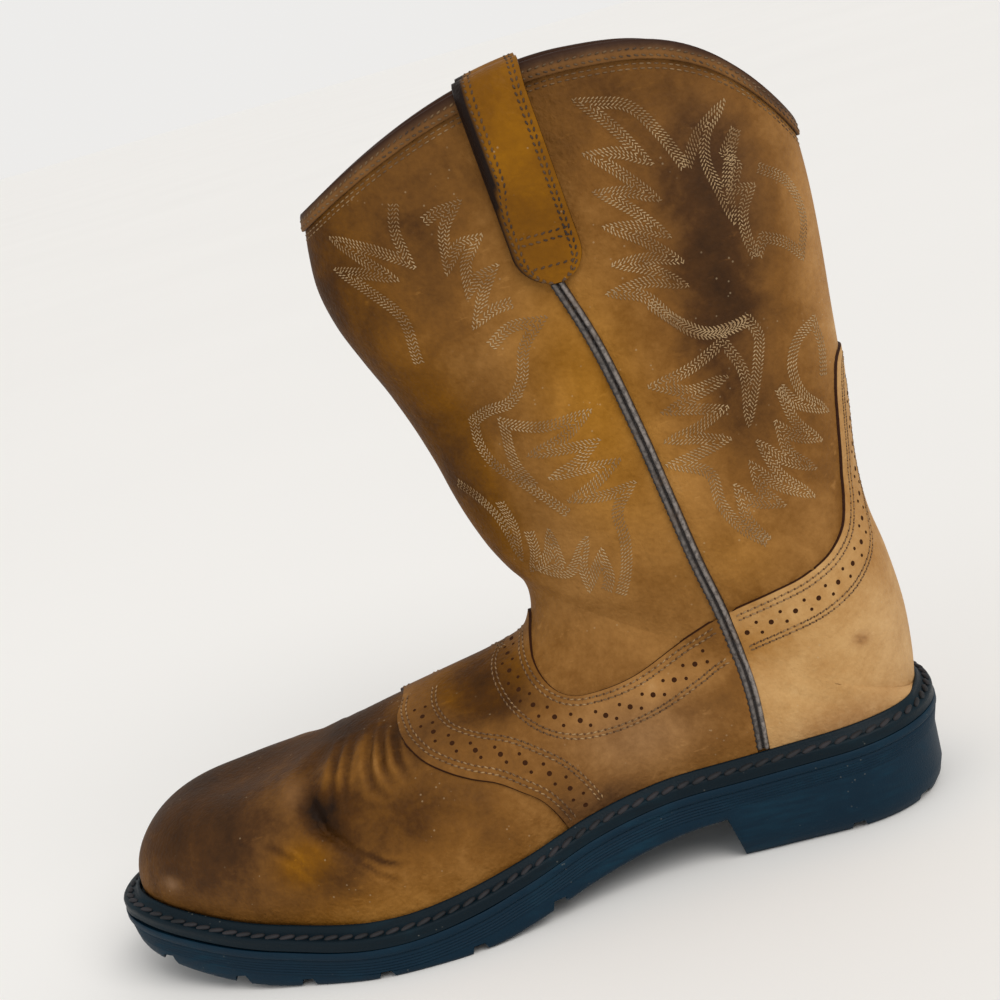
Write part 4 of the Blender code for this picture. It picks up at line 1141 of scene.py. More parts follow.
@dataclass
class Guide:
    """A line on the leather: its points and the outward direction at each."""

    points: np.ndarray
    normals: np.ndarray

    @property
    def run(self) -> np.ndarray:
        """Length from the start to each point."""
        return run_of(self.points)

    @property
    def ways(self) -> np.ndarray:
        """Direction along the line at each point."""
        return unit(np.gradient(self.points, axis=0))

    def even(self, pitch: float, start: float = 0.0, end: float = 0.0) -> "Guide":
        """The same line in even steps, short of its ends by two lengths."""
        whole = self.run[-1]
        count = max(2, int(round((whole - start - end) / pitch)) + 1)
        return self.at(np.linspace(start, whole - end, count))

    def at(self, lengths: np.ndarray) -> "Guide":
        """The line's places at lengths along it."""
        run = self.run
        return Guide(read_line(self.points, lengths, run), unit(read_line(self.normals, lengths, run)))

    def beside(self, leather: Leather, distance: float, corners: bool = False) -> "Guide":
        """A line beside this one on the leather.

        Args:
            leather: The leather.
            distance: To the left of the way, seen from outside; negative to the right.
            corners: Keep sharp corners sharp.

        Returns:
            The line beside.
        """
        across = unit(np.cross(self.normals, self.ways))
        if corners:
            steps = unit(np.diff(self.points, axis=0))
            before, after = np.vstack([steps[:1], steps]), np.vstack([steps, steps[-1:]])
            first, second = np.cross(self.normals, before), np.cross(self.normals, after)
            middle = unit(first + second)
            open_up = np.clip(np.sum(middle * unit(second), 1), 0.42, 1.0)
            across = middle / open_up[:, None]
        return Guide(*leather.nearest(self.points + across * distance))

    def clear_of(self, other: "Guide", distance: float) -> list["Guide"]:
        """The stretches of the line that keep a distance from another line."""
        gaps = np.linalg.norm(self.points[:, None] - other.points[None], axis=2).min(1)
        parts, start = [], None
        for k, kept in enumerate([*(gaps >= distance), False]):
            if kept and start is None:
                start = k
            elif not kept and start is not None:
                if k - start > 2:
                    parts.append(Guide(self.points[start:k], self.normals[start:k]))
                start = None
        return parts

    def raised(self, height: float) -> "Guide":
        """The line moved outward."""
        return Guide(self.points + self.normals * height, self.normals)


@dataclass(frozen=True)
class Thread:
    """Sizes of a row of stitches, in metres."""

    length: float
    gap: float
    width: float
    height: float
    slant: float = 0.0
    sunk: float = 0.35
    between: bool = False


def template(detail: int = 1) -> tuple[np.ndarray, list]:
    """Points and faces of one rounded stitch of unit size."""
    bm = bmesh.new()
    bmesh.ops.create_icosphere(bm, subdivisions=detail, radius=0.5)
    for vert in bm.verts:
        vert.co.x *= 1.0 + 0.25 * (1 - 4 * vert.co.x ** 2)
    points = np.array([v.co[:] for v in bm.verts])
    faces = [[v.index for v in f.verts] for f in bm.faces]
    bm.free()
    return points, faces


def sew(name: str, guides: Sequence[Guide], thread: Thread, material: bpy.types.Material,
        detail: int = 1) -> bpy.types.Object:
    """Rows of stitches as one piece.

    Args:
        name: Name of the piece.
        guides: Lines that the rows follow.
        thread: Sizes of the stitches.
        material: The thread's material.
        detail: Fineness of each stitch.

    Returns:
        The piece.
    """
    shape, faces = template(detail)
    middles, ways, ups, turns = [], [], [], []
    pitch = thread.length + thread.gap
    for number, guide in enumerate(guides):
        if guide.run[-1] < pitch * 2:
            continue
        line = guide.even(pitch, pitch / 2, pitch / 2) if thread.between else guide.even(pitch)
        turns.append(np.full(len(line.points) - 1, thread.slant * (1 if number % 2 == 0 else -1)))
        middles.append((line.points[1:] + line.points[:-1]) / 2)
        ways.append(unit(line.points[1:] - line.points[:-1]))
        ups.append(unit(line.normals[1:] + line.normals[:-1]))
    middle, way, up = np.concatenate(middles), np.concatenate(ways), np.concatenate(ups)
    across = unit(np.cross(up, way))
    turn = np.concatenate(turns)[:, None]
    slanted = unit(way * np.cos(turn) + across * np.sin(turn))
    across = unit(np.cross(up, slanted))
    rng = np.random.default_rng(7)
    jitter = 1 + rng.normal(0, 0.05, len(middle))
    middle = middle + up * thread.height * (0.5 - thread.sunk)
    points = (middle[:, None] + shape[None, :, :1] * (slanted * jitter[:, None])[:, None] * thread.length
              + shape[None, :, 1:2] * across[:, None] * thread.width
              + shape[None, :, 2:] * up[:, None] * thread.height)
    index = np.asarray(faces)[None] + (np.arange(len(middle)) * len(shape))[:, None, None]
    mesh = bpy.data.meshes.new(name)
    mesh.from_pydata(points.reshape(-1, 3), [], index.reshape(-1, index.shape[-1]))
    bm = bmesh.new()
    bm.from_mesh(mesh)
    bpy.data.meshes.remove(mesh)
    return dress(name, bm, material, sharp=3.0)


def punch(name: str, holes: Sequence[tuple[Guide, float]], height: float, material: bpy.types.Material) -> bpy.types.Object:
    """Punched holes as one piece of small dishes, coloured dark as painted shade inside the holes.

    Args:
        name: Name of the piece.
        holes: Guides whose points are hole centres, with the holes' radius.
        height: Top of the leather over the guides.
        material: The holes' dark material, painted shade.

    Returns:
        The piece.
    """
    bm = bmesh.new()
    for guide, radius in holes:
        for point, normal in zip(guide.points, guide.normals):
            turn = Vector(normal).to_track_quat("Z", "X").to_matrix().to_4x4()
            place = Matrix.Translation(Vector(point + normal * (height + 0.00006))) @ turn
            made = bmesh.ops.create_cone(bm, cap_ends=True, segments=12, radius1=radius * 1.12,
                                         radius2=radius * 0.86, depth=0.00016, matrix=place)
            top = max((f for f in {f for v in made["verts"] for f in v.link_faces} if len(f.verts) > 4),
                      key=lambda f: f.calc_center_median().dot(Vector(normal)))
            bmesh.ops.inset_individual(bm, faces=[top], thickness=radius * 0.25, depth=-0.00012)
    return dress(name, bm, material, sharp=0.6)


@dataclass
class Cutter:
    """Cuts a sheet of leather along side-view outlines.

    Faces within the reach of an outline's run are cut, and points within the merge distance joined.
    """

    bm: bmesh.types.BMesh
    past: float = 0.0022
    beside: float = 0.003
    margin: float = 0.004
    merge: float = 4e-5

    def along(self, start: np.ndarray, end: np.ndarray) -> None:
        """Cut the faces near one straight run of the outline."""
        way = end - start
        length = float(np.hypot(*way))
        if length < 1e-9:
            return
        near = []
        for face in self.bm.faces:
            x, _, z = face.calc_center_median()
            t = ((x - start[0]) * way[0] + (z - start[1]) * way[1]) / length
            off = ((x - start[0]) * way[1] - (z - start[1]) * way[0]) / length
            if -self.past < t < length + self.past and abs(off) < self.beside:
                near.append(face)
        geometry = set(near)
        for face in near:
            geometry.update(face.edges)
            geometry.update(face.verts)
        bmesh.ops.bisect_plane(self.bm, geom=list(geometry), dist=1e-6, plane_co=(start[0], 0.0, start[1]),
                               plane_no=(way[1] / length, 0.0, -way[0] / length))

    def keep(self, outline: np.ndarray) -> None:
        """Cut round the outline and drop the leather outside it."""
        centres = self.centres()
        box = (centres > outline.min(0) - self.margin) & (centres < outline.max(0) + self.margin)
        self.drop(~box.all(1))
        for start, end in zip(outline, np.roll(outline, -1, 0)):
            self.along(start, end)
        self.drop(~within(self.centres(), outline))
        bmesh.ops.remove_doubles(self.bm, verts=self.bm.verts, dist=self.merge)

    def centres(self) -> np.ndarray:
        """Side-view middle of each face."""
        return np.array([f.calc_center_median()[:] for f in self.bm.faces])[:, [0, 2]]

    def drop(self, chosen: np.ndarray) -> None:
        """Delete the chosen faces."""
        bmesh.ops.delete(self.bm, geom=[f for f, gone in zip(self.bm.faces, chosen) if gone], context="FACES")


def within(points: np.ndarray, outline: np.ndarray) -> np.ndarray:
    """Whether each point lies inside a closed outline."""
    x, z = points.T
    inside = np.zeros(len(points), bool)
    for (ax, az), (bx, bz) in zip(outline, np.roll(outline, -1, 0)):
        crosses = (az > z) != (bz > z)
        with np.errstate(divide="ignore", invalid="ignore"):
            at = ax + (z - az) * (bx - ax) / (bz - az)
        inside ^= crosses & (x < at)
    return inside


@dataclass
class Part:
    """A sub-assembly that lies on the leather and shares its finishes' effects."""

    leather: Leather
    effects: Effects

    @property
    def last(self) -> Last:
        """The form under the leather."""
        return self.leather.last


@dataclass
class Upper(Part):
    """The worn leather skin with painted shade in its creases and painted highlight on their ridges, its
    lining and the tone patches.
    """

    base_tone: float = 0.42
    crease_light_and_shade: float = 0.14
    least_wall: float = 0.75
    seam_strip: float = 0.006

    def skin(self) -> bpy.types.Object:
        """Outer leather from the welt to the collar."""
        grid = self.leather.grid
        bm = net(grid)
        turn_out(bm)
        finish = LeatherFinish("tan_leather")
        piece = dress("upper_leather", bm, finish.material(self.effects), ("upper",))
        points = points_of(piece)
        # painted shade in the crease troughs and painted highlight on the ridges beside them, from each
        # fold's depth
        lines = sum(np.clip(fold.push(points) / (fold.depth * MM), -1, 1) for fold in CREASES[:11])
        paint(piece, self.base_tone + self.crease_light_and_shade * np.clip(lines, -1, 1), BODY_TONES_AND_SHADE)
        return piece

    def lining(self) -> bpy.types.Object:
        """Inner face of the upper, seen through the collar."""
        leather = self.leather
        inner = leather.grid[::2, ::2] - leather.normals[::2, ::2] * leather.last.wall
        flat = inner.reshape(-1, 3)
        places, outs = leather.nearest(flat)
        shallow = np.sum((flat - places) * outs, 1) > -leather.last.wall * self.least_wall
        flat[shallow] = places[shallow] - outs[shallow] * leather.last.wall
        bm = net(inner)
        free = [v for v in bm.verts if not v.is_boundary and abs(v.co.y) > self.seam_strip]
        bmesh.ops.smooth_vert(bm, verts=free, factor=0.5, use_axis_x=True, use_axis_y=True, use_axis_z=True)
        turn_out(bm, inward=True)
        finish = ClothFinish("shaft_lining", linear(70, 50, 36), linear(112, 84, 60))
        return dress("upper_lining", bm, finish.material(self.effects))


@dataclass
class Overlays(Part):
    """Saddle and counter leather laid over the upper, with their stitches and punched holes."""

    thickness: float = 0.0011
    seam_slot: float = 0.0022
    seam_foot: float = 0.236
    lip_width: float = 0.00016
    lip_height: float = 0.86
    # width and depth of the outer rim that is painted dark as the shadow line beside the overlay's edge
    shadow_rim_width: float = 0.00055
    shadow_rim_sunk: float = 0.0003
    no_dark_near_seam: float = 0.0036
    first_row: float = 0.0020
    second_row: float = 0.0039
    hole_row: float = 0.0092
    hole_spread: float = 0.0021
    hole_pitch: float = 0.0090
    big_hole: float = 0.00086
    small_hole: float = 0.00058
    outer_row: float = 0.0141
    row_gap: float = 0.0016
    over_welt: float = 0.0006
    row_over_welt: float = 0.004
    row_off_seam: float = 0.0012
    thread: Thread = Thread(0.0017, 0.0008, 0.00062, 0.0005, 0.25)
    mark: Thread = Thread(0.0008, 0.0017, 0.0009, 0.00034, 0.0, 0.3, True)

    def seam_x(self, z: np.ndarray) -> np.ndarray:
        """Place of the side seam at each height."""
        seam = self.last.curve(SIDE_SEAM, 60)[::-1]
        return np.interp(z, seam[:, 1], seam[:, 0])

    def foot_line(self, start: float, end: float, count: int) -> np.ndarray:
        """Side-view line along the upper's lower edge."""
        x = np.linspace(start, end, count)
        return np.stack([x, self.last.seat_at(x) + self.over_welt], 1)

    def top_edge(self, behind: bool) -> np.ndarray:
        """The top edge before or behind the side seam."""
        edge = self.last.curve(TOP_EDGE, 150, True)
        off = edge[:, 0] - self.seam_x(edge[:, 1])
        return edge[off > self.seam_slot] if behind else edge[off < -self.seam_slot]

    def front_edge(self, count: int, clear: float) -> np.ndarray:
        """The saddle's front edge above the welt."""
        edge = self.last.curve(FRONT_EDGE, count, True)
        return edge[edge[:, 1] > self.last.seat_at(edge[:, 0]) + clear]

    def seam_edge(self, low: float, high: float, off: float, count: int = 18) -> np.ndarray:
        """Line beside the side seam between two heights."""
        z = np.linspace(low, high, count)
        return np.stack([self.seam_x(z) + off, z], 1)

    def saddle_outline(self) -> np.ndarray:
        """Closed side-view outline of the saddle."""
        top, front = self.top_edge(False), self.front_edge(60, 0.0008)
        low = self.foot_line(self.seam_foot, self.seam_foot, 1)[0, 1]
        back = self.seam_edge(top[-1, 1], low, -self.seam_slot)
        ground = self.foot_line(back[-1, 0], front[0, 0], 24)[1:-1]
        return np.concatenate([front, top, back[1:], ground])

    def counter_outline(self) -> np.ndarray:
        """Closed side-view outline of the counter."""
        top = self.top_edge(True)
        low = self.foot_line(self.seam_foot + 0.004, self.seam_foot + 0.004, 1)[0, 1]
        front = self.seam_edge(low, top[0, 1], self.seam_slot)
        return np.concatenate([front[:-1], top, self.foot_line(top[-1, 0], front[0, 0], 20)[:-1]])

    def lay(self, name: str, node: str, outline: np.ndarray, tones: Sequence[Tone],
            tone: float) -> bpy.types.Object:
        """One overlay: a raised sheet with a turned-down edge, painted dark as edge dye and, on its sunk
        outer rim, as a painted shadow line.

        Args:
            name: Name of the piece.
            node: Frame node that it stands for.
            outline: Closed side-view outline.
            tones: Patches of tone.
            tone: Tone where no patch lies.

        Returns:
            The piece.
        """
        bm = net(self.leather.grid + self.leather.normals * self.thickness)
        turn_out(bm)
        Cutter(bm).keep(outline)
        edge_dye_and_shadow = self.rim(bm, self.lip_width, self.thickness * self.lip_height)
        # the second rim, sunk into the leather, carries the dark edge colour past the edge as a painted
        # shadow line
        edge_dye_and_shadow |= self.rim(bm, self.shadow_rim_width, -self.shadow_rim_sunk)
        edge_dye_and_shadow = {v for v in edge_dye_and_shadow if abs(v.co.x - float(self.seam_x(v.co.z))) > self.no_dark_near_seam}
        bm.verts.index_update()
        dye_and_shadow = np.array([1.0 if v in edge_dye_and_shadow else 0.0 for v in bm.verts])
        finish = LeatherFinish("overlay_leather_" + node, grain=0.00056)
        piece = dress(name, bm, finish.material(self.effects), (node,), sharp=0.75)
        paint(piece, tone, tones, 0.0, dye_and_shadow)
        return piece

    def rim(self, bm: bmesh.types.BMesh, wide: float, height: float) -> set:
        """Fold the sheet's open edge outward and down.

        Args:
            bm: The sheet.
            wide: How far the new edge lies outside the old one, where nothing stands beside it.
            height: Height of the new edge over the leather.

        Returns:
            The new points.
        """
        edges = [e for e in bm.edges if e.is_boundary]
        away = {}
        for vert in {v for e in edges for v in e.verts}:
            open_edges = [e for e in vert.link_edges if e.is_boundary]
            inside = sum((f.calc_center_median() for f in vert.link_faces), Vector()) / len(vert.link_faces)
            way = open_edges[0].other_vert(vert).co - open_edges[-1].other_vert(vert).co
            way = way.normalized() if way.length > 1e-9 else Vector((1, 0, 0))
            off = vert.co - inside
            off = off - way * off.dot(way)
            away[vert] = off.normalized() if off.length > 1e-9 else Vector()
        made = bmesh.ops.extrude_edge_only(bm, edges=edges)
        fresh = [g for g in made["geom"] if isinstance(g, bmesh.types.BMVert)]
        for vert in fresh:
            old = next(e.other_vert(vert) for e in vert.link_edges if e.other_vert(vert) in away)
            over = vert.co.z - float(self.last.seat_at(vert.co.x))
            beside = abs(vert.co.x - float(self.seam_x(vert.co.z)))
            free = float(held(over, 0.003, 0.002) * held(beside, 0.0042, 0.001))
            vert.co = vert.co + away[old] * wide * free
        places, outs = self.leather.nearest(np.array([v.co[:] for v in fresh]))
        for vert, place, out in zip(fresh, places, outs):
            vert.co = place + out * height
        return set(fresh)

    def edges(self, side: Side) -> list[Guide]:
        """Lines under the overlays' edges on one side, each with its leather on the right."""
        lines = (self.top_edge(False), self.top_edge(True), self.front_edge(160, 0.004))
        return [Guide(*self.leather.from_side(line, side)).even(0.0012) for line in lines]

    def rows(self) -> tuple[list[Guide], list[tuple[Guide, float]]]:
        """Stitch rows and hole rows of every edge on both sides."""
        seams, holes = [], []
        for side in Side:
            for edge in self.edges(side):
                for off in (self.first_row, self.second_row, self.outer_row, self.outer_row + self.row_gap):
                    row = self.clear(edge.beside(self.leather, side.value * off))
                    if len(row.points) > 3:
                        seams.append(row.raised(self.thickness))
                holes += self.hole_rows(edge, side)
        return seams, holes

    def clear(self, row: Guide) -> Guide:
        """The part of a row that stays off the welt and the piping."""
        over = row.points[:, 2] > self.last.seat_at(row.points[:, 0]) + self.row_over_welt
        off = np.abs(row.points[:, 0] - self.seam_x(row.points[:, 2])) > self.seam_slot + self.row_off_seam
        kept = over & off
        return Guide(row.points[kept], row.normals[kept])

    def hole_rows(self, edge: Guide, side: Side) -> list[tuple[Guide, float]]:
        """Large holes along the band's middle, small ones in pairs between them."""
        made = []
        length = edge.beside(self.leather, side.value * self.hole_row).run[-1]
        for off, start, radius in ((self.hole_row, 0.0, self.big_hole),
                                   (self.hole_row - self.hole_spread, 0.5, self.small_hole),
                                   (self.hole_row + self.hole_spread, 0.5, self.small_hole)):
            line = edge.beside(self.leather, side.value * off)
            share = (np.arange(int(length / self.hole_pitch)) + start + 0.25) * self.hole_pitch / length
            row = self.clear(line.at(share * line.run[-1]))
            if len(row.points):
                made.append((row, radius))
        return made

    def build(self) -> None:
        """Both overlays with their stitches and holes."""
        self.lay("saddle_overlay", "saddle", self.saddle_outline(), SADDLE_TONES_AND_SHADE, 0.40)
        self.lay("counter_overlay", "counter", self.counter_outline(), COUNTER_TONES_AND_SHADE, 0.72)
        seams, holes = self.rows()
        finish = ThreadFinish("band_thread", linear(96, 70, 42), linear(158, 126, 86))
        sew("overlay_stitches", seams, self.thread, finish.material(self.effects))
        finish = ThreadFinish("needle_marks", linear(70, 45, 22), linear(98, 66, 36), 0.9)
        sew("needle_marks", seams, self.mark, finish.material(self.effects))
        # dark colour of the hole dishes: painted shade inside the holes
        hole_shade = PlainFinish("punched_hole_shade", linear(58, 34, 16))
        punch("punched_holes", holes, self.thickness, hole_shade.material(self.effects))


# stitched lines on the shaft: number of the section, share of the way round from the back to the front
LEFT_CHAIN = (
    (20.14, .276), (20.66, .304), (21.12, .344), (21.28, .416), (20.86, .376), (20.34, .340), (20.5, .380),
    (20.52, .420), (20.18, .380), (19.82, .344), (19.94, .380), (19.98, .420), (19.68, .380), (19.32, .344),
    (19.46, .380), (19.5, .420), (19.26, .376), (18.94, .336), (19.02, .380), (19, .424), (18.84, .376),
    (18.6, .340), (18.7, .392), (18.62, .448), (18.5, .404), (18.14, .372), (17.86, .336), (17.82, .292),
    (17.92, .240))
RIGHT_CHAIN = (
    (20.14, .276), (20.6, .244), (21.1, .192), (20.64, .228), (20.2, .240), (19.86, .232), (19.44, .220),
    (19.94, .212), (20.8, .172))
RIGHT_TURN = (
    (20.8, .172), (20.36, .204), (20.16, .188), (19.8, .208), (19.82, .176), (19.46, .200), (19.12, .204),
    (18.82, .196))
RIGHT_END = (
    (18.82, .196), (19.1, .176), (19.04, .140), (18.84, .104), (19.5, .076), (20.04, .096), (20.18, .152))
LOW_LEFT = (
    (18.4, .400), (18.04, .360), (17.84, .316), (17.86, .280), (17.94, .240), (17.7, .228), (17.38, .240),
    (16.3, .288), (17.22, .276), (17.68, .296), (17.36, .368), (17.14, .436), (16.98, .388), (17.1, .324),
    (16.88, .376), (16.62, .428), (16.6, .384), (16.52, .340), (16.24, .380), (15.96, .440), (15.96, .396),
    (15.86, .352), (15.64, .396), (15.38, .452), (15.12, .392), (14.48, .392), (13.86, .368), (13.54, .332))
LOW_RIGHT = (
    (13.54, .332), (14.1, .352), (14.7, .348), (14.46, .324), (14.42, .280), (14.76, .304), (15.18, .304),
    (14.8, .268), (14.56, .208), (15.02, .256), (15.64, .276), (15.3, .236), (15.12, .188), (15.52, .228),
    (16, .232), (15.78, .204), (15.68, .160), (16.06, .196), (16.82, .216))
LOW_END = (
    (16.82, .216), (16.46, .188), (16.24, .128), (16.64, .172), (17.16, .180), (17.56, .152), (17.76, .108),
    (17.4, .100), (16.86, .112))
FRONT_TOP = (
    (20.94, .760), (20.54, .768), (19.88, .760), (20.3, .812), (20.86, .884), (20.26, .840), (19.74, .800),
    (19.98, .844), (20.2, .888), (19.58, .844), (18.96, .808), (17.96, .824))
FRONT_FEATHER = (
    (20.4, .716), (20.46, .692), (20.44, .660), (20.18, .684), (19.6, .696), (19.86, .664), (19.84, .640),
    (19.52, .668), (19.14, .676), (19.28, .656), (19.32, .632), (18.98, .660), (18.6, .684), (18.74, .648),
    (18.78, .616))
FRONT_MIDDLE = (
    (18.12, .684), (18.4, .636), (18.4, .588), (18.04, .628), (17.46, .660), (17, .704), (16.8, .752),
    (16.46, .800), (15.94, .812), (15.32, .800), (14.92, .764), (14.52, .728), (14.04, .696))
FRONT_LOW = (
    (14.78, .736), (15.38, .752), (16.48, .736), (16.4, .668), (16.64, .584), (16.22, .624), (15.72, .700),
    (15.82, .644), (15.92, .592), (15.5, .628), (15.12, .680), (15.3, .624), (15.42, .568), (14.94, .612),
    (14.5, .664), (14.58, .612), (14.82, .556), (14.2, .596), (13.42, .612), (12.38, .652), (11.58, .692))
FRONT_TAIL = (
    (11.6, .720), (12.08, .696), (12.76, .684), (11.68, .752), (12.34, .740), (13.1, .704), (11.88, .792),
    (11.74, .840), (12.08, .792), (13.14, .772), (12.42, .808), (11.8, .864), (12.46, .832), (13.24, .812))
FRONT_END = (
    (14.56, .920), (14.18, .880), (13.6, .864), (12.98, .864), (12.26, .876), (13.36, .840), (14.18, .832))
SHAFT_PATTERN = (LEFT_CHAIN, RIGHT_CHAIN, RIGHT_TURN, RIGHT_END, LOW_LEFT, LOW_RIGHT, LOW_END, FRONT_TOP,
                 FRONT_FEATHER, FRONT_MIDDLE, FRONT_LOW, FRONT_TAIL, FRONT_END)


@dataclass
class ShaftStitching(Part):
    """The feathered stitch pattern on the shaft: four rows of thread side by side."""

    rows: int = 4
    row_gap: float = 0.00104
    thread: Thread = Thread(0.00149, -0.00010, 0.00046, 0.00040, 0.72)
    cusp: float = 0.55
    step: float = 0.0011
    kept_clear: float = 0.86

    def stroke(self, knots: Sequence, side: Side) -> Guide:
        """A smooth line through the knots that keeps its sharp turns.

        Args:
            knots: Row number and way round the ring of each knot.
            side: Side of the boot.

        Returns:
            The line on the leather.
        """
        table = np.array(knots)
        places = self.leather.at(table[:, 0], table[:, 1], side)
        steps = unit(np.diff(places, axis=0))
        turns = np.sum(steps[1:] * steps[:-1], 1)
        stops = [0, *(k + 1 for k in range(len(turns)) if turns[k] < self.cusp), len(places) - 1]
        pieces = []
        for first, end in zip(stops, stops[1:]):
            part = places[first:end + 1]
            run = run_of(part)
            at = np.linspace(0, run[-1], max(3, int(run[-1] / self.step)))
            curve = smooth_line(part, at, run) if len(part) > 2 else read_line(part, at, run)
            pieces.append(curve if not pieces else curve[1:])
        return Guide(*self.leather.nearest(np.concatenate(pieces)))

    def build(self) -> bpy.types.Object:
        """All strokes on both sides as one piece."""
        lines = []
        for side in Side:
            for knots in SHAFT_PATTERN:
                middle = self.stroke(knots, side)
                for k in range(self.rows):
                    off = (k - (self.rows - 1) / 2) * self.row_gap
                    row = middle.beside(self.leather, off, corners=True)
                    lines += row.clear_of(middle, abs(off) * self.kept_clear)
        finish = ThreadFinish("pattern_thread", linear(128, 98, 62), linear(178, 150, 110))
        return sew("shaft_pattern", lines, self.thread, finish.material(self.effects), 1)


@dataclass
class Piping(Part):
    """Seam welting down each side: a rubbed ridge beside a stitched flange.

    The profile and the seams are places across the width and shares of the height; the foot is the
    seam's share of the foot length at the welt.
    """

    width: float = 0.0048
    height: float = 0.0018
    lift: float = 0.0003
    clear_of_seat: float = 0.0036
    foot: float = 0.797
    thread: Thread = Thread(0.0015, 0.0009, 0.0009, 0.0006, 0.3)
    seams: tuple = ((-0.43, 0.42), (0.0, 0.26))
    profile: tuple = (
        (-0.50, -0.1), (-0.48, 0.30), (-0.42, 0.52), (-0.33, 0.66), (-0.22, 0.70), (-0.12, 0.60),
        (-0.05, 0.40), (0.01, 0.28), (0.06, 0.36), (0.11, 0.68), (0.17, 0.90), (0.25, 1.0),
        (0.33, 0.92), (0.40, 0.70), (0.46, 0.40), (0.49, 0.15), (0.50, -0.1))

    def line(self, side: Side, across: float, count: int = 200) -> tuple[np.ndarray, np.ndarray]:
        """Places on the leather beside the seam."""
        seam = self.last.curve(SIDE_SEAM, count)
        low = float(self.last.seat_z(self.foot)) + self.clear_of_seat
        seam = seam[seam[:, 1] > low]
        return self.leather.from_side(seam + np.array([across * self.width, 0.0]), side)

    def strip(self, side: Side, node: str, material: bpy.types.Material) -> bpy.types.Object:
        """The cord on one side."""
        rows = []
        for across, high in self.profile:
            places, outs = self.line(side, across)
            rows.append(places + outs * (self.lift + high * self.height))
        shape = np.stack(rows, 1)
        base = [self.line(side, across) for across in (0.2, -0.2)]
        under = np.stack([places + outs * self.lift * 0.3 for places, outs in base], 1)
        bm = net(np.concatenate([shape, under], 1), close=True)
        close_up(bm)
        piece = dress("piping_" + side.name.lower(), bm, material, (node,), 1.2)
        points = points_of(piece)
        high = np.tile(held(np.array(self.profile)[:, 1], 0.5, 0.35), (len(shape), 1))
        store(piece, "ridge", KDLookup(shape.reshape(-1, 3), high.reshape(-1)).near(points))
        return piece

    def build(self) -> None:
        """Both cords and their stitches."""
        material = PipingFinish().material(self.effects)
        seams = []
        for side, node in ((Side.OUTER, "side_piping_outer"), (Side.INNER, "side_piping_inner")):
            self.strip(side, node, material)
            for across, high in self.seams:
                seams.append(Guide(*self.line(side, across)).raised(self.lift + high * self.height))
        finish = ThreadFinish("black_thread", linear(24, 22, 24), linear(48, 44, 44))
        sew("piping_stitches", seams, self.thread, finish.material(self.effects))


STRAP_OUTSIDE = (  # height (share of the strap's leg), share of the stand-off
    (0.00, 0.00), (0.05, 0.00), (0.14, 0.00), (0.27, 0.02), (0.38, 0.34), (0.50, 0.72), (0.66, 0.96),
    (0.82, 1.00), (0.94, 0.88))
STRAP_INSIDE = ((0.24, 0.00), (0.40, 0.02), (0.52, 0.22), (0.66, 0.62), (0.82, 0.88), (0.94, 0.88))


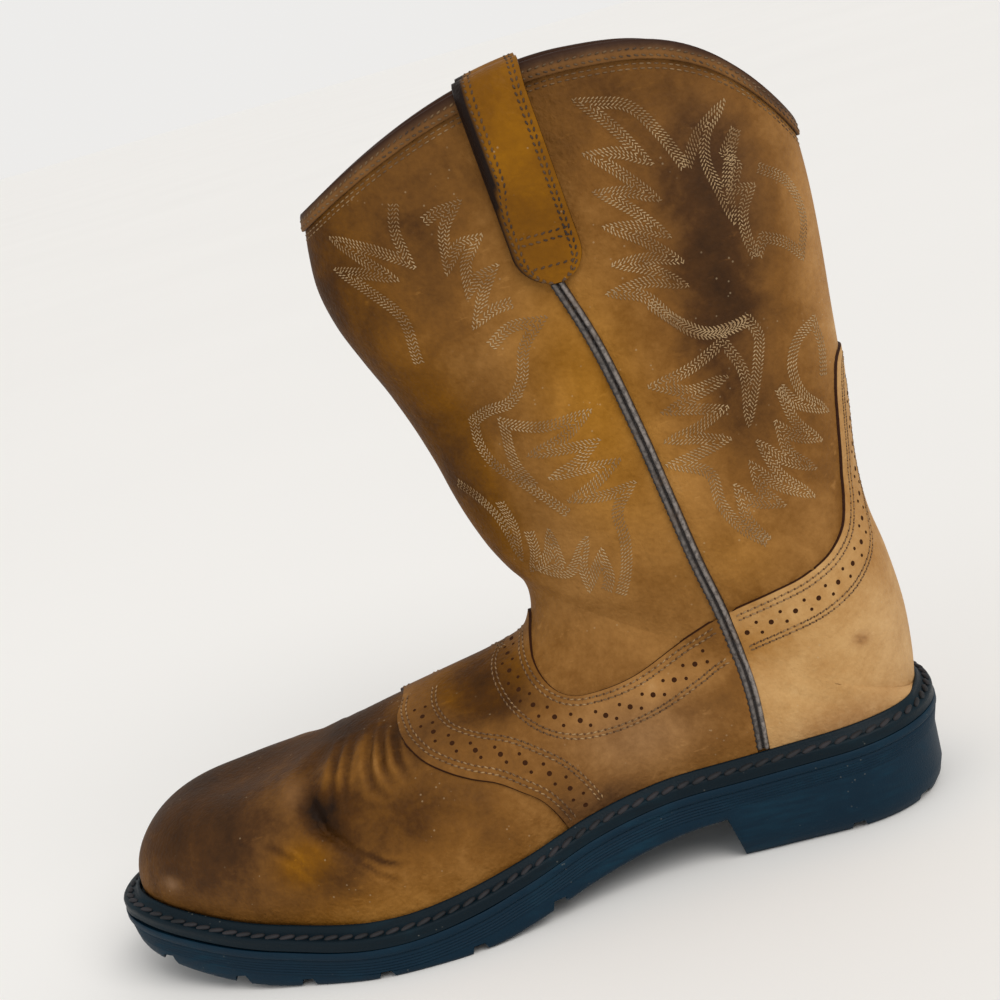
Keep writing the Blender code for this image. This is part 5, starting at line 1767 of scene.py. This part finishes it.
@dataclass
class PullStraps(Part):
    """Leather pull straps: sewn down outside, standing off as loops over the collar, sewn down inside.

    Edge rows hold a place across the strap where it is sewn down and one where its loop is open.
    """

    width: float = 0.0225
    thickness: float = 0.0022
    stand_off: float = 0.0074
    lift: float = 0.00045
    crown: float = 0.0006
    binding: float = 0.0010
    gap: float = 0.0003
    cross_rows: tuple = (0.10, 0.245, 0.275)
    edge_rows: tuple = ((-0.43, -0.32), (-0.36, -0.235), (0.355, 0.355), (0.425, 0.425))
    thread: Thread = Thread(0.0017, 0.0007, 0.0008, 0.0005, 0.3)
    front_dye: float = 0.07
    open_loop_shadow: float = 0.10
    outside_steps: int = 54
    inside_steps: int = 34
    inner_tree: BVHTree = field(init=False)

    def __post_init__(self) -> None:
        """Keeps the lining's surface."""
        leather = self.leather
        self.inner_tree = leather.tree_of(leather.plain - leather.outward(leather.plain) * leather.last.wall)

    def rim(self, x: float, side: Side) -> float:
        """Height of the collar's edge."""
        ring, half = self.leather.grid[-1], self.last.steps
        part = ring[:half + 1] if side is Side.OUTER else ring[half:]
        order = np.argsort(part[:, 0])
        return float(np.interp(x, part[order, 0], part[order, 2]))

    def wall(self, x: float, z: float, side: Side, inside: bool) -> float:
        """Distance of the wall's face from the boot's middle plane, with its sign."""
        if inside:
            return self.inner_tree.ray_cast(Vector((x, 0, z)), Vector((0, side.value, 0)), 0.2)[0].y
        return self.leather.beside(x, z, side).y

    def path(self, side: Side, across: float) -> tuple[np.ndarray, np.ndarray]:
        """The strap's two faces at one place across it.

        Args:
            side: Side of the boot.
            across: Place across the strap, -0.5 to 0.5.

        Returns:
            Points of the face next to the boot and points of the far face.
        """
        (low_x, low_z), (top_x, top_z) = (self.last.place(p) for p in STRAP_LINE)
        leg = self.rim(top_x, side) - low_z
        near, far = [], []
        for inside, table, count in ((False, STRAP_OUTSIDE, self.outside_steps),
                                     (True, STRAP_INSIDE, self.inside_steps)):
            high = np.linspace(table[0][0], table[-1][0], count)
            if inside:
                high = high[::-1]
            off = np.clip(smooth([r[0] for r in table], [r[1] for r in table], high), 0, 1)
            for h, o in zip(high, off):
                wide = across * self.width * self.end_width((h - table[0][0]) * leg)
                z = low_z + h * leg
                x = low_x + (top_x - low_x) * h * leg / (top_z - low_z) + wide
                y = self.wall(x, z, side, inside)
                sign = -side.value if inside else side.value
                curl = 0.0 if inside else self.curl(across, o)
                stand = max(self.lift + o * self.stand_off - curl * 0.8, self.lift)
                near.append((x, y + sign * stand, z))
                far.append((x, y + sign * (stand + self.thickness - curl * 0.2), z))
            if not inside:
                bend_near, bend_far = self.over(near[-1], self.rim(near[-1][0], side), y, side)
                near += bend_near
                far += bend_far
        return np.array(near), np.array(far)

    def opening(self, height: np.ndarray) -> np.ndarray:
        """Share of the loop's opening at a share of the strap's height: 0 where it is sewn down."""
        return ease(height, 0.33, 0.2)

    def curl(self, across: float, stand: float) -> float:
        """How far the strap's front edge turns back towards the shaft."""
        return float(held(-across, 0.32, 0.18)) ** 1.4 * (0.0010 + 0.0052 * stand)

    def end_width(self, from_end: float) -> float:
        """Share of the width near a rounded end."""
        radius = self.width / 2
        if from_end >= radius:
            return 1.0
        return max(0.12, math.sqrt(max(0.0, 1 - (1 - max(from_end, 0.0) / radius) ** 2)))

    def over(self, near: tuple, rim_z: float, wall_y: float, side: Side) -> tuple[list, list]:
        """The bend over the collar and its binding."""
        x, y, z = near
        top = rim_z + self.lift + self.gap + self.binding + self.crown
        middle = wall_y - side.value * self.last.wall / 2
        reach = abs(y - wall_y) + self.last.wall / 2
        inner, outer = [], []
        for turn in np.linspace(0.06, 0.94, 21):
            angle = math.pi * turn
            inner.append((x, middle + side.value * reach * math.cos(angle), z + (top - z) * math.sin(angle)))
            wide = reach + self.thickness
            outer.append((x, middle + side.value * wide * math.cos(angle),
                          z + (top - z + self.thickness) * math.sin(angle)))
        return inner, outer

    def strap(self, side: Side, node: str, material: bpy.types.Material) -> bpy.types.Object:
        """One strap, its front edge dark with edge dye and, where the loop stands off, with painted shadow.
        """
        shares = np.linspace(-0.5, 0.5, 17)
        near, far = (np.stack(face, 1) for face in zip(*(self.path(side, share) for share in shares)))
        edge = (far[:, :1] + near[:, :1]) / 2 + (far[:, :1] - far[:, 1:2]) * 0.18
        other = (far[:, -1:] + near[:, -1:]) / 2 + (far[:, -1:] - far[:, -2:-1]) * 0.18
        bm = net(np.concatenate([far, other, near[:, ::-1], edge], 1), close=True)
        close_up(bm)
        piece = dress("strap_leather_" + side.name.lower(), bm, material, (node,), 0.8)
        points = points_of(piece)
        rims = np.concatenate([edge[:, 0], other[:, 0]])
        tree = KDLookup(rims, rims)
        gap = np.linalg.norm(points - tree.near(points), axis=1)
        dye_and_shadow = np.clip(1.2 - gap / 0.0007, 0, 1)
        flat = np.concatenate([far.reshape(-1, 3), near.reshape(-1, 3)])
        place = KDLookup(flat, np.tile(shares, len(flat) // len(shares))).near(points)
        # dark band along the front edge: edge dye, widened where the loop stands off as painted shadow in the
        # gap behind the strap
        dark = self.front_dye + self.open_loop_shadow * self.opening(self.height_share(points))
        dye_and_shadow = np.maximum(dye_and_shadow, np.clip(((-place - 0.5) + dark) / 0.03, 0, 1))
        paint(piece, 0.42, STRAP_TONES, 0.12, dye_and_shadow)
        return piece

    def height_share(self, points: np.ndarray) -> np.ndarray:
        """Height of each point as a share of the strap's height."""
        return (points[:, 2] - points[:, 2].min()) / np.ptp(points[:, 2])

    def rows(self, side: Side) -> list[Guide]:
        """Edge rows and cross rows of one strap."""
        made = []
        for low, high in self.edge_rows:
            first, second = self.path(side, low)[1], self.path(side, high)[1]
            share = self.opening(self.height_share(first))[:, None]
            made.append(self.on_strap(first * (1 - share) + second * share))
        lines = [self.path(side, share)[1] for share in np.linspace(-0.34, 0.42, 15)]
        for place in self.cross_rows:
            points = np.array([line[int(place * (self.outside_steps - 1))] for line in lines])
            made.append(Guide(points, np.tile([0.0, side.value, 0.0], (len(points), 1))))
        return made

    def on_strap(self, points: np.ndarray) -> Guide:
        """A guide on the strap's outer face."""
        ways = unit(np.gradient(points, axis=0))
        normals = unit(np.cross(ways, np.array([1.0, 0.0, 0.0])))
        middle = np.array([0.0, np.mean(points[:, 1]), np.mean(points[:, 2])])
        sign = np.sign(np.sum(normals[len(points) // 2] * (points[len(points) // 2] - middle)))
        return Guide(points, normals * (sign if sign else 1.0))

    def build(self) -> None:
        """Both straps with their stitches."""
        finish = LeatherFinish("strap_leather", roughness=0.52, grain=0.00040, mottling=0.42,
                               edge=linear(30, 19, 14))
        material = finish.material(self.effects)
        seams = []
        for side, node in ((Side.OUTER, "pull_strap_outer"), (Side.INNER, "pull_strap_inner")):
            self.strap(side, node, material)
            seams += self.rows(side)
        finish = ThreadFinish("strap_thread", linear(46, 30, 16), linear(92, 66, 38))
        sew("strap_stitches", seams, self.thread, finish.material(self.effects))


@dataclass
class CollarBinding(Part):
    """Folded leather over the collar's edge, with the double rows of stitches below it."""

    thickness: float = 0.0010
    height: float = 0.0048
    gap: float = 0.0003
    lift: float = 0.00045
    binding_rows: tuple = (0.0014, 0.0036)
    collar_rows: tuple = (0.0062, 0.0078)
    binding_thread: Thread = Thread(0.0017, 0.0008, 0.0007, 0.00045, 0.3)
    collar_thread: Thread = Thread(0.0019, 0.0006, 0.00055, 0.00042)

    def rim(self) -> tuple[np.ndarray, np.ndarray, np.ndarray]:
        """Points of the collar's edge, their outward directions and the way down the wall."""
        grid, normals = self.leather.grid, self.leather.normals
        ring = grid[-1, :-1]
        down = unit(grid[-4, :-1] - ring)
        return ring, normals[-1, :-1], down

    def build(self) -> None:
        """The binding and the rows of stitches."""
        ring, out, down = self.rim()
        wall = self.last.wall
        outer, inner = self.gap + self.thickness, -wall - self.gap - self.thickness
        seat, top = -self.lift - self.gap, -self.lift - self.gap - self.thickness
        profile = ((self.gap, self.height), (outer * 0.85, self.height), (outer, self.height - 0.0004),
                   (outer, self.height * 0.5), (outer, seat + 0.0006), (outer * 0.8, seat - 0.0004),
                   (0.0, top), (-wall * 0.5, top - 0.0001), (-wall, top), (inner * 0.94, seat - 0.0004),
                   (inner, seat + 0.0006), (inner, self.height * 0.5), (inner, self.height - 0.0003),
                   (-wall - self.gap, self.height), (-wall - self.gap, seat), (self.gap, seat))
        rows = [ring + out * wide + down * low for wide, low in profile]
        bm = net(np.stack(rows + rows[:1], 0), close=True)
        bmesh.ops.recalc_face_normals(bm, faces=bm.faces)
        finish = LeatherFinish("dark_binding", roughness=0.6, grain=0.00032, mottling=0.5)
        material = finish.material(self.effects)
        piece = dress("collar_edge", bm, material, ("collar_binding",), 1.3)
        self.shade(piece, ring, out, down)
        loop, outs, downs = (np.concatenate([rows, rows[:1]]) for rows in (ring, out, down))
        finish = ThreadFinish("dark_thread", linear(56, 38, 22), linear(118, 92, 60))
        rows = [Guide(loop + outs * outer + downs * drop, outs) for drop in self.binding_rows]
        sew("binding_stitches", rows, self.binding_thread, finish.material(self.effects))
        finish = ThreadFinish("collar_thread", linear(84, 60, 36), linear(146, 116, 78))
        rows = [Guide(*self.leather.nearest(loop + downs * drop)) for drop in self.collar_rows]
        sew("collar_stitches", rows, self.collar_thread, finish.material(self.effects))

    def shade(self, piece: bpy.types.Object, ring: np.ndarray, out: np.ndarray, down: np.ndarray) -> None:
        """Grey-brown outside, nearly black along the top and dark brown inside."""
        points = points_of(piece)
        tree = KDLookup(ring, np.concatenate([ring, out, down], 1))
        near = tree.near(points)
        off = points - near[:, :3]
        wide, low = np.sum(off * near[:, 3:6], 1), np.sum(off * near[:, 6:], 1)
        outside = held(wide, 0.0002, 0.0006) * held(low, -0.0004, 0.0008)
        store(piece, "tone", 0.14 + 0.23 * outside)
        store(piece, "warmth", -0.25 + 0.20 * outside)
        store(piece, "edge", np.clip(0.8 - 1.4 * outside, 0, 1) * (low < 0.002))


@dataclass
class FootEdge:
    """The upper's lower edge and the rings that the welt and the sole are shaped on."""

    last: Last
    toe_margin: float = 0.0085
    waist_margin: float = 0.0058
    heel_margin: float = 0.0066
    toe_end: float = 0.16
    heel_start: float = 0.90
    heel_part: float = 0.10

    def margin(self, share: np.ndarray) -> np.ndarray:
        """Width of the welt beyond the upper."""
        mix = smooth((0.0, 0.3, 0.45, 0.6, 0.8, 1.0), (0.0, 0.15, 0.55, 1.0, 1.0, 1.0), share)
        heel = held(np.asarray(share), 0.8, 0.2)
        waist = self.toe_margin + (self.waist_margin - self.toe_margin) * mix
        return waist + (self.heel_margin - self.waist_margin) * heel

    def ends(self, toe: int = 34, heel: int = 26) -> tuple[np.ndarray, np.ndarray]:
        """Places round the toe and round the heel, closer together at the ends."""
        return crowded_start(self.toe_end, toe), crowded_end(self.heel_start, self.heel_part, heel)

    def shares(self, toe: int = 34, foot: int = 130, heel: int = 26) -> np.ndarray:
        """Places along the foot, closer together round its ends."""
        first, end = self.ends(toe, heel)
        return np.concatenate([first, np.linspace(self.toe_end, self.heel_start, foot)[1:], end])

    def ring(self, shares: np.ndarray) -> tuple[np.ndarray, np.ndarray, np.ndarray]:
        """The lower edge as a ring: points, outward directions and places along the foot."""
        last = self.last
        x, middle = shares * last.foot_length, last.centre_y(shares)
        outer = np.stack([x, middle - last.feather_half(shares, Side.OUTER)], 1)
        inner = np.stack([x, middle + last.feather_half(shares, Side.INNER)], 1)
        ring = np.concatenate([outer, inner[-2:0:-1]])
        places = np.concatenate([shares, shares[-2:0:-1]])
        tangent = np.roll(ring, -1, 0) - np.roll(ring, 1, 0)
        normal = unit(np.stack([tangent[:, 1], -tangent[:, 0]], 1))
        side = held(places, 0.43, 0.04) * held(-places, -0.88, 0.04)
        normal[:, 0] *= 1 - side
        normal = unit(normal)
        return ring, normal * np.sign(np.sum(normal * (ring - ring.mean(0)))), places

    def at_seat(self, ring: np.ndarray, normal: np.ndarray, out: np.ndarray, rise: np.ndarray) -> np.ndarray:
        """The ring moved outward, at a height over the seat."""
        moved = ring + normal * out[:, None]
        z = self.last.seat_at(moved[:, 0]) + rise
        return np.column_stack([moved, z])


@dataclass
class Welt(Part):
    """Rubber welt: a bead along the upper, a sunk channel and a ledge with heavy stitches."""

    edge: FootEdge
    thickness: float = 0.0047
    slope: float = 0.0012
    ledge: float = 0.0012
    bead_height: float = 0.0026
    bead_width: float = 0.0016
    gap: float = 0.0003
    lift: float = 0.00045
    stitch: Thread = Thread(0.0056, 0.0001, 0.0021, 0.0018, 0.34, 0.34)
    stitch_lean: float = 0.25

    def bulge(self, ring: np.ndarray, normal: np.ndarray) -> np.ndarray:
        """How far the leather stands out over each place at the bead's height."""
        away, out = 0.03, []
        for point, way in zip(ring, normal):
            z = float(self.last.seat_at(point[0])) + self.bead_height
            start = Vector((*(point + way * away), z))
            hit = self.leather.tree.ray_cast(start, Vector((*-way, 0.0)), away * 2)
            out.append(away - hit[3] if hit[0] else 0.0)
        out = np.clip(out, 0, None)
        return np.maximum(out, (np.roll(out, 1) + np.roll(out, -1)) / 2)

    def build(self) -> None:
        """The welt and its stitches."""
        ring, normal, places = self.edge.ring(self.edge.shares())
        bead = self.bulge(ring, normal) + self.gap + self.lift
        edge = self.edge.margin(places)
        foot = np.minimum(bead + self.bead_width * 1.6, edge - self.ledge)
        inside = np.full(len(ring), -(self.last.wall + self.gap))
        wide, high = self.bead_width, self.bead_height
        mid = (foot + edge - self.ledge * 0.5) / 2
        slope, thick, soft = self.slope, self.thickness, 0.0002
        profile = ((inside, -self.gap), (bead, -self.gap), (bead, high * 0.7),
                   (bead + wide * 0.12, high * 0.92), (bead + wide * 0.40, high),
                   (bead + wide * 0.75, high * 0.93), (bead + wide, high * 0.70),
                   (bead + wide * 1.2, high * 0.36), (foot, high * 0.10), (mid, -slope * 0.62),
                   (edge - self.ledge, -slope * 0.45), (edge - self.ledge * 0.55, -slope * 0.55),
                   (edge - soft, -slope * 0.9), (edge, -slope - soft * 2), (edge, -thick * 0.55),
                   (edge - soft, -thick * 0.80), (edge, -thick), (inside, -thick))
        rows = [self.edge.at_seat(ring, normal, out, rise) for out, rise in profile]
        bm = net(np.stack(rows + rows[:1], 0), close=True)
        bmesh.ops.recalc_face_normals(bm, faces=bm.faces)
        finish = RubberFinish("welt_rubber", linear(6, 26, 34), linear(20, 44, 54), 0.46)
        dress("welt_ring", bm, finish.material(self.effects), ("welt",), 1.0)
        line = self.edge.at_seat(ring, normal, mid, -self.slope * 0.62 + 0.0001)
        up = np.column_stack([normal * self.stitch_lean, np.ones(len(normal))])
        loop, up = (np.concatenate([rows, rows[:1]]) for rows in (line, unit(up)))
        finish = ThreadFinish("welt_thread", linear(16, 20, 25), linear(40, 38, 42), 0.75)
        sew("welt_stitches", [Guide(loop, up)], self.stitch, finish.material(self.effects), 2)


@dataclass
class Insole(Part):
    """Board that closes the upper's bottom, covered with cloth."""

    edge: FootEdge
    rise: float = 0.0010
    thickness: float = 0.0057
    inset: float = 0.0033

    def build(self) -> bpy.types.Object:
        """The insole as a slab."""
        shares = self.edge.shares(24, 80, 16)
        ring, normal, _ = self.edge.ring(shares[1:])
        line = ring - normal * self.inset
        half = len(line) // 2
        outer, inner = line[:half + 1], line[half:]
        inner = np.concatenate([inner, line[:1]])[::-1]
        across = np.linspace(0, 1, 21)
        places = outer[:, None] * (1 - across)[None, :, None] + inner[:, None] * across[None, :, None]
        z = self.last.seat_at(places[..., 0]) + self.rise
        bm = net(np.concatenate([places, z[..., None]], -1))
        bmesh.ops.recalc_face_normals(bm, faces=bm.faces)
        made = bmesh.ops.extrude_face_region(bm, geom=list(bm.faces), use_keep_orig=True)
        low = [g for g in made["geom"] if isinstance(g, bmesh.types.BMVert)]
        bmesh.ops.translate(bm, verts=low, vec=(0, 0, -self.thickness))
        bmesh.ops.recalc_face_normals(bm, faces=bm.faces)
        finish = ClothFinish("insole_cloth", linear(60, 46, 36), linear(92, 74, 56))
        return dress("insole_board", bm, finish.material(self.effects), ("insole",))


@dataclass
class Sole(Part):
    """Moulded rubber sole with its heel block, lip, side ridges and lugs."""

    edge: FootEdge
    welt_thickness: float = 0.0047
    gap: float = 0.0003
    lip: float = 0.0028
    lip_depth: float = 0.0007
    side_taper: float = 0.0012
    toe_taper: float = 0.0022
    heel_taper: float = 0.0058
    toe_lift: float = 0.0145
    breast_height: float = 0.0165
    breast_place: float = 0.735
    breast_slope: float = 0.0035
    lug_gap: float = 0.0046
    lug_depth: float = 0.0030
    lug_reach: float = 0.026
    groove: float = 0.00035
    ridges: int = 5
    ridge_pitch: float = 0.0011

    def tread(self, share: np.ndarray) -> np.ndarray:
        """Height of the tread: toe spring, flat ball, arch and heel block."""
        places = (-0.02, 0.02, 0.07, 0.13, 0.19, 0.24, 0.40, 0.45, 0.50, 0.56, 0.63, 0.70, self.breast_place)
        toe = (1.0, 0.76, 0.48, 0.20, 0.04, 0.0, 0.0, 0.0, 0.0, 0.0, 0.0, 0.0, 0.0)
        arch = (0.0, 0.0, 0.0, 0.0, 0.0, 0.0, 0.0, 0.07, 0.26, 0.54, 0.80, 0.96, 1.0)
        rise = np.clip(smooth(places, toe, share), 0, None) * self.toe_lift
        rise = rise + np.clip(smooth(places, arch, share), 0, None) * self.breast_height
        return np.where(np.asarray(share) > self.breast_place + 1e-6, 0.0, rise)

    def stations(self) -> np.ndarray:
        """Places of the rings' points, with two at the heel block's front."""
        toe, end = self.edge.ends()
        foot = np.linspace(self.edge.toe_end, self.breast_place, 110)[1:]
        breast = self.breast_place + self.breast_slope / self.last.foot_length
        heel = np.linspace(breast, self.edge.heel_start, 30)
        return np.concatenate([toe, foot, heel, end])

    def body(self) -> bmesh.types.BMesh:
        """The sole before its lugs are cut."""
        ring, normal, places = self.edge.ring(self.stations())
        top = self.last.seat_z(places) - self.welt_thickness - self.gap
        edge = self.edge.margin(places) + self.gap
        low = self.tread(places)
        heel = held(places, self.breast_place, 0.01)
        toe = np.clip(1 - places / self.edge.toe_end, 0, 1)
        taper = self.side_taper + (self.heel_taper - self.side_taper) * heel + self.toe_taper * toe
        drop = top - self.lip - low
        under = edge - self.lip_depth
        rows = [(edge - 0.0003, top), (edge, top - 0.0004), (edge, top - self.lip + 0.0004),
                (edge - 0.0003, top - self.lip), (under - self.groove, top - self.lip - self.lip_depth)]
        for k in range(self.ridges):
            at = top - self.lip - self.lip_depth - (k + 1) * self.ridge_pitch
            for step, deep in ((0.0004, 0.0), (0.0, 0.0), (-0.0003, self.groove)):
                rows.append((under - taper * 0.05 * k - deep, np.maximum(at + step, low + drop * 0.30)))
        rows += [(under - taper * 0.32, low + drop * 0.28), (under - taper * 0.55, low + drop * 0.12),
                 (under - taper * 0.9, low + 0.0005), (under - taper - 0.0005, low)]
        layers = [np.column_stack([ring + normal * out[:, None], z]) for out, z in rows]
        side = net(np.stack(layers, 0), close=True)
        return join([side, self.cap(layers[0]), self.cap(layers[-1])])

    def cap(self, layer: np.ndarray) -> bmesh.types.BMesh:
        """Face of the sole between the two sides of a ring."""
        half = len(layer) // 2
        outer, inner = layer[:half + 1], np.concatenate([layer[half:], layer[:1]])[::-1]
        return net(np.stack([outer, inner], 1))

    def lugs(self) -> bmesh.types.BMesh:
        """Blocks that notch the tread's edge from both sides."""
        last, whole = self.last, bmesh.new()
        for share in LUGS + HEEL_LUGS:
            for side in Side:
                half = float(last.feather_half(np.clip(share, 0.05, 0.97), side) + self.edge.margin(share))
                middle = float(last.centre_y(share))
                roof = float(self.tread(np.array(share))) + self.lug_depth
                ends = (middle + side.value * (half - self.lug_reach), middle + side.value * (half + 0.012))
                made = bmesh.ops.create_cube(whole, size=1.0)["verts"]
                for vert in made:
                    wide = self.lug_gap * (0.42 if vert.co.z > 0 else 1.9)
                    vert.co = Vector((share * last.foot_length + (wide if vert.co.x > 0 else -wide),
                                      ends[0] if vert.co.y < 0 else ends[1],
                                      roof if vert.co.z > 0 else roof - 0.02))
        bmesh.ops.recalc_face_normals(whole, faces=whole.faces)
        return whole

    def build(self) -> bpy.types.Object:
        """The sole with its lugs cut."""
        bm = self.body()
        bmesh.ops.recalc_face_normals(bm, faces=bm.faces)
        solid = in_scene("sole_body", loose_mesh("sole_body", bm))
        cutter = in_scene("lug_blocks", loose_mesh("lug_blocks", self.lugs()))
        cut = solid.modifiers.new("lugs", "BOOLEAN")
        cut.operation, cut.solver, cut.object, cut.use_self = "DIFFERENCE", "EXACT", cutter, True
        mesh = bpy.data.meshes.new_from_object(solid.evaluated_get(bpy.context.evaluated_depsgraph_get()))
        result = bmesh.new()
        result.from_mesh(mesh)
        for item in (solid, cutter):
            bpy.data.objects.remove(item)
        finish = RubberFinish("sole_rubber", linear(6, 37, 52), linear(24, 58, 74), 0.52)
        material = finish.material(self.effects)
        return dress("outsole_rubber", result, material, ("outsole",), 0.7)


@dataclass
class Studio:
    """Floor, light and camera."""

    place: tuple = (0.06111, -0.65511, 0.29947)
    lens: float = 68.2
    yaw: float = -3.4
    pitch: float = 13.5
    roll: float = -15.86

    def floor(self) -> bpy.types.Object:
        """Plain pale floor."""
        bm = bmesh.new()
        bmesh.ops.create_circle(bm, cap_ends=True, segments=64, radius=60.0)
        mesh = loose_mesh("studio_floor", bm)
        floor = in_scene("studio_floor", mesh)
        mesh.materials.append(PlainFinish("studio_floor", linear(246, 245, 243)).material(None))
        return floor

    def lamp(self, name: str, place: tuple, target: tuple, size: float, power: float,
             colour: tuple = (1.0, 1.0, 1.0)) -> bpy.types.Object:
        """A soft square light."""
        data = bpy.data.lights.new(name, "AREA")
        data.shape, data.size, data.energy, data.color = "SQUARE", size, power, colour
        lamp = in_scene(name, data)
        lamp.location = place
        lamp.rotation_euler = (Vector(target) - Vector(place)).to_track_quat("-Z", "Y").to_euler()
        return lamp

    def sun(self, name: str, way: tuple, power: float, spread: float, colour: tuple) -> bpy.types.Object:
        """A wide, even light from one direction."""
        data = bpy.data.lights.new(name, "SUN")
        data.energy, data.angle, data.color = power, math.radians(spread), colour
        sun = in_scene(name, data)
        sun.rotation_euler = (-Vector(way)).to_track_quat("-Z", "Y").to_euler()
        return sun

    def camera(self) -> bpy.types.Object:
        """Camera at the photograph's viewing angle."""
        yaw, pitch, roll = (math.radians(a) for a in (self.yaw, self.pitch, self.roll))
        forward = Vector((math.sin(yaw) * math.cos(pitch), math.cos(yaw) * math.cos(pitch), -math.sin(pitch)))
        right = Vector((math.cos(yaw), -math.sin(yaw), 0.0))
        up = right.cross(forward)
        across = right * math.cos(roll) + up * math.sin(roll)
        top = up * math.cos(roll) - right * math.sin(roll)
        data = bpy.data.cameras.new("photo_camera")
        data.lens, data.sensor_width, data.clip_start = self.lens, 36.0, 0.01
        camera = in_scene("photo_camera", data)
        turn = Matrix((across, top, -forward)).transposed().to_4x4()
        camera.matrix_world = Matrix.Translation(Vector(self.place)) @ turn
        bpy.context.scene.camera = camera
        return camera

    def build(self) -> None:
        """Everything round the boot."""
        self.floor()
        self.sun("key_light", (0.62, -0.80, 1.05), 1.5, 40.0, (1.0, 0.975, 0.94))
        self.lamp("fill_light", (-0.9, -0.9, 0.5), (0.0, 0.0, 0.10), 0.9, 1.6, (0.93, 0.97, 1.0))
        world = bpy.data.worlds.new("studio_air")
        world.use_nodes = True
        world.node_tree.nodes["Background"].inputs["Color"].default_value = (1.0, 0.99, 0.975, 1.0)
        b = Bench(world.node_tree)
        seen = b.add("ShaderNodeLightPath").outputs["Is Camera Ray"]
        strength = b.math("ADD", 0.62, b.math("MULTIPLY", seen, 0.228))
        b.wire(strength, world.node_tree.nodes["Background"].inputs["Strength"])
        bpy.context.scene.world = world
        bpy.context.scene.view_settings.view_transform = "Standard"
        self.camera()


def main() -> None:
    """Build the boot and its studio."""
    logging.basicConfig(level=logging.INFO, format="%(message)s")
    leather, effects = Leather(Last()), Effects()
    edge = FootEdge(leather.last)
    upper = Upper(leather, effects)
    upper.skin()
    upper.lining()
    for part in (Overlays(leather, effects), ShaftStitching(leather, effects), Piping(leather, effects),
                 PullStraps(leather, effects), CollarBinding(leather, effects), Welt(leather, effects, edge),
                 Insole(leather, effects, edge), Sole(leather, effects, edge), Studio()):
        part.build()
        LOG.info("%s done", type(part).__name__)


if __name__ == "__main__":
    main()
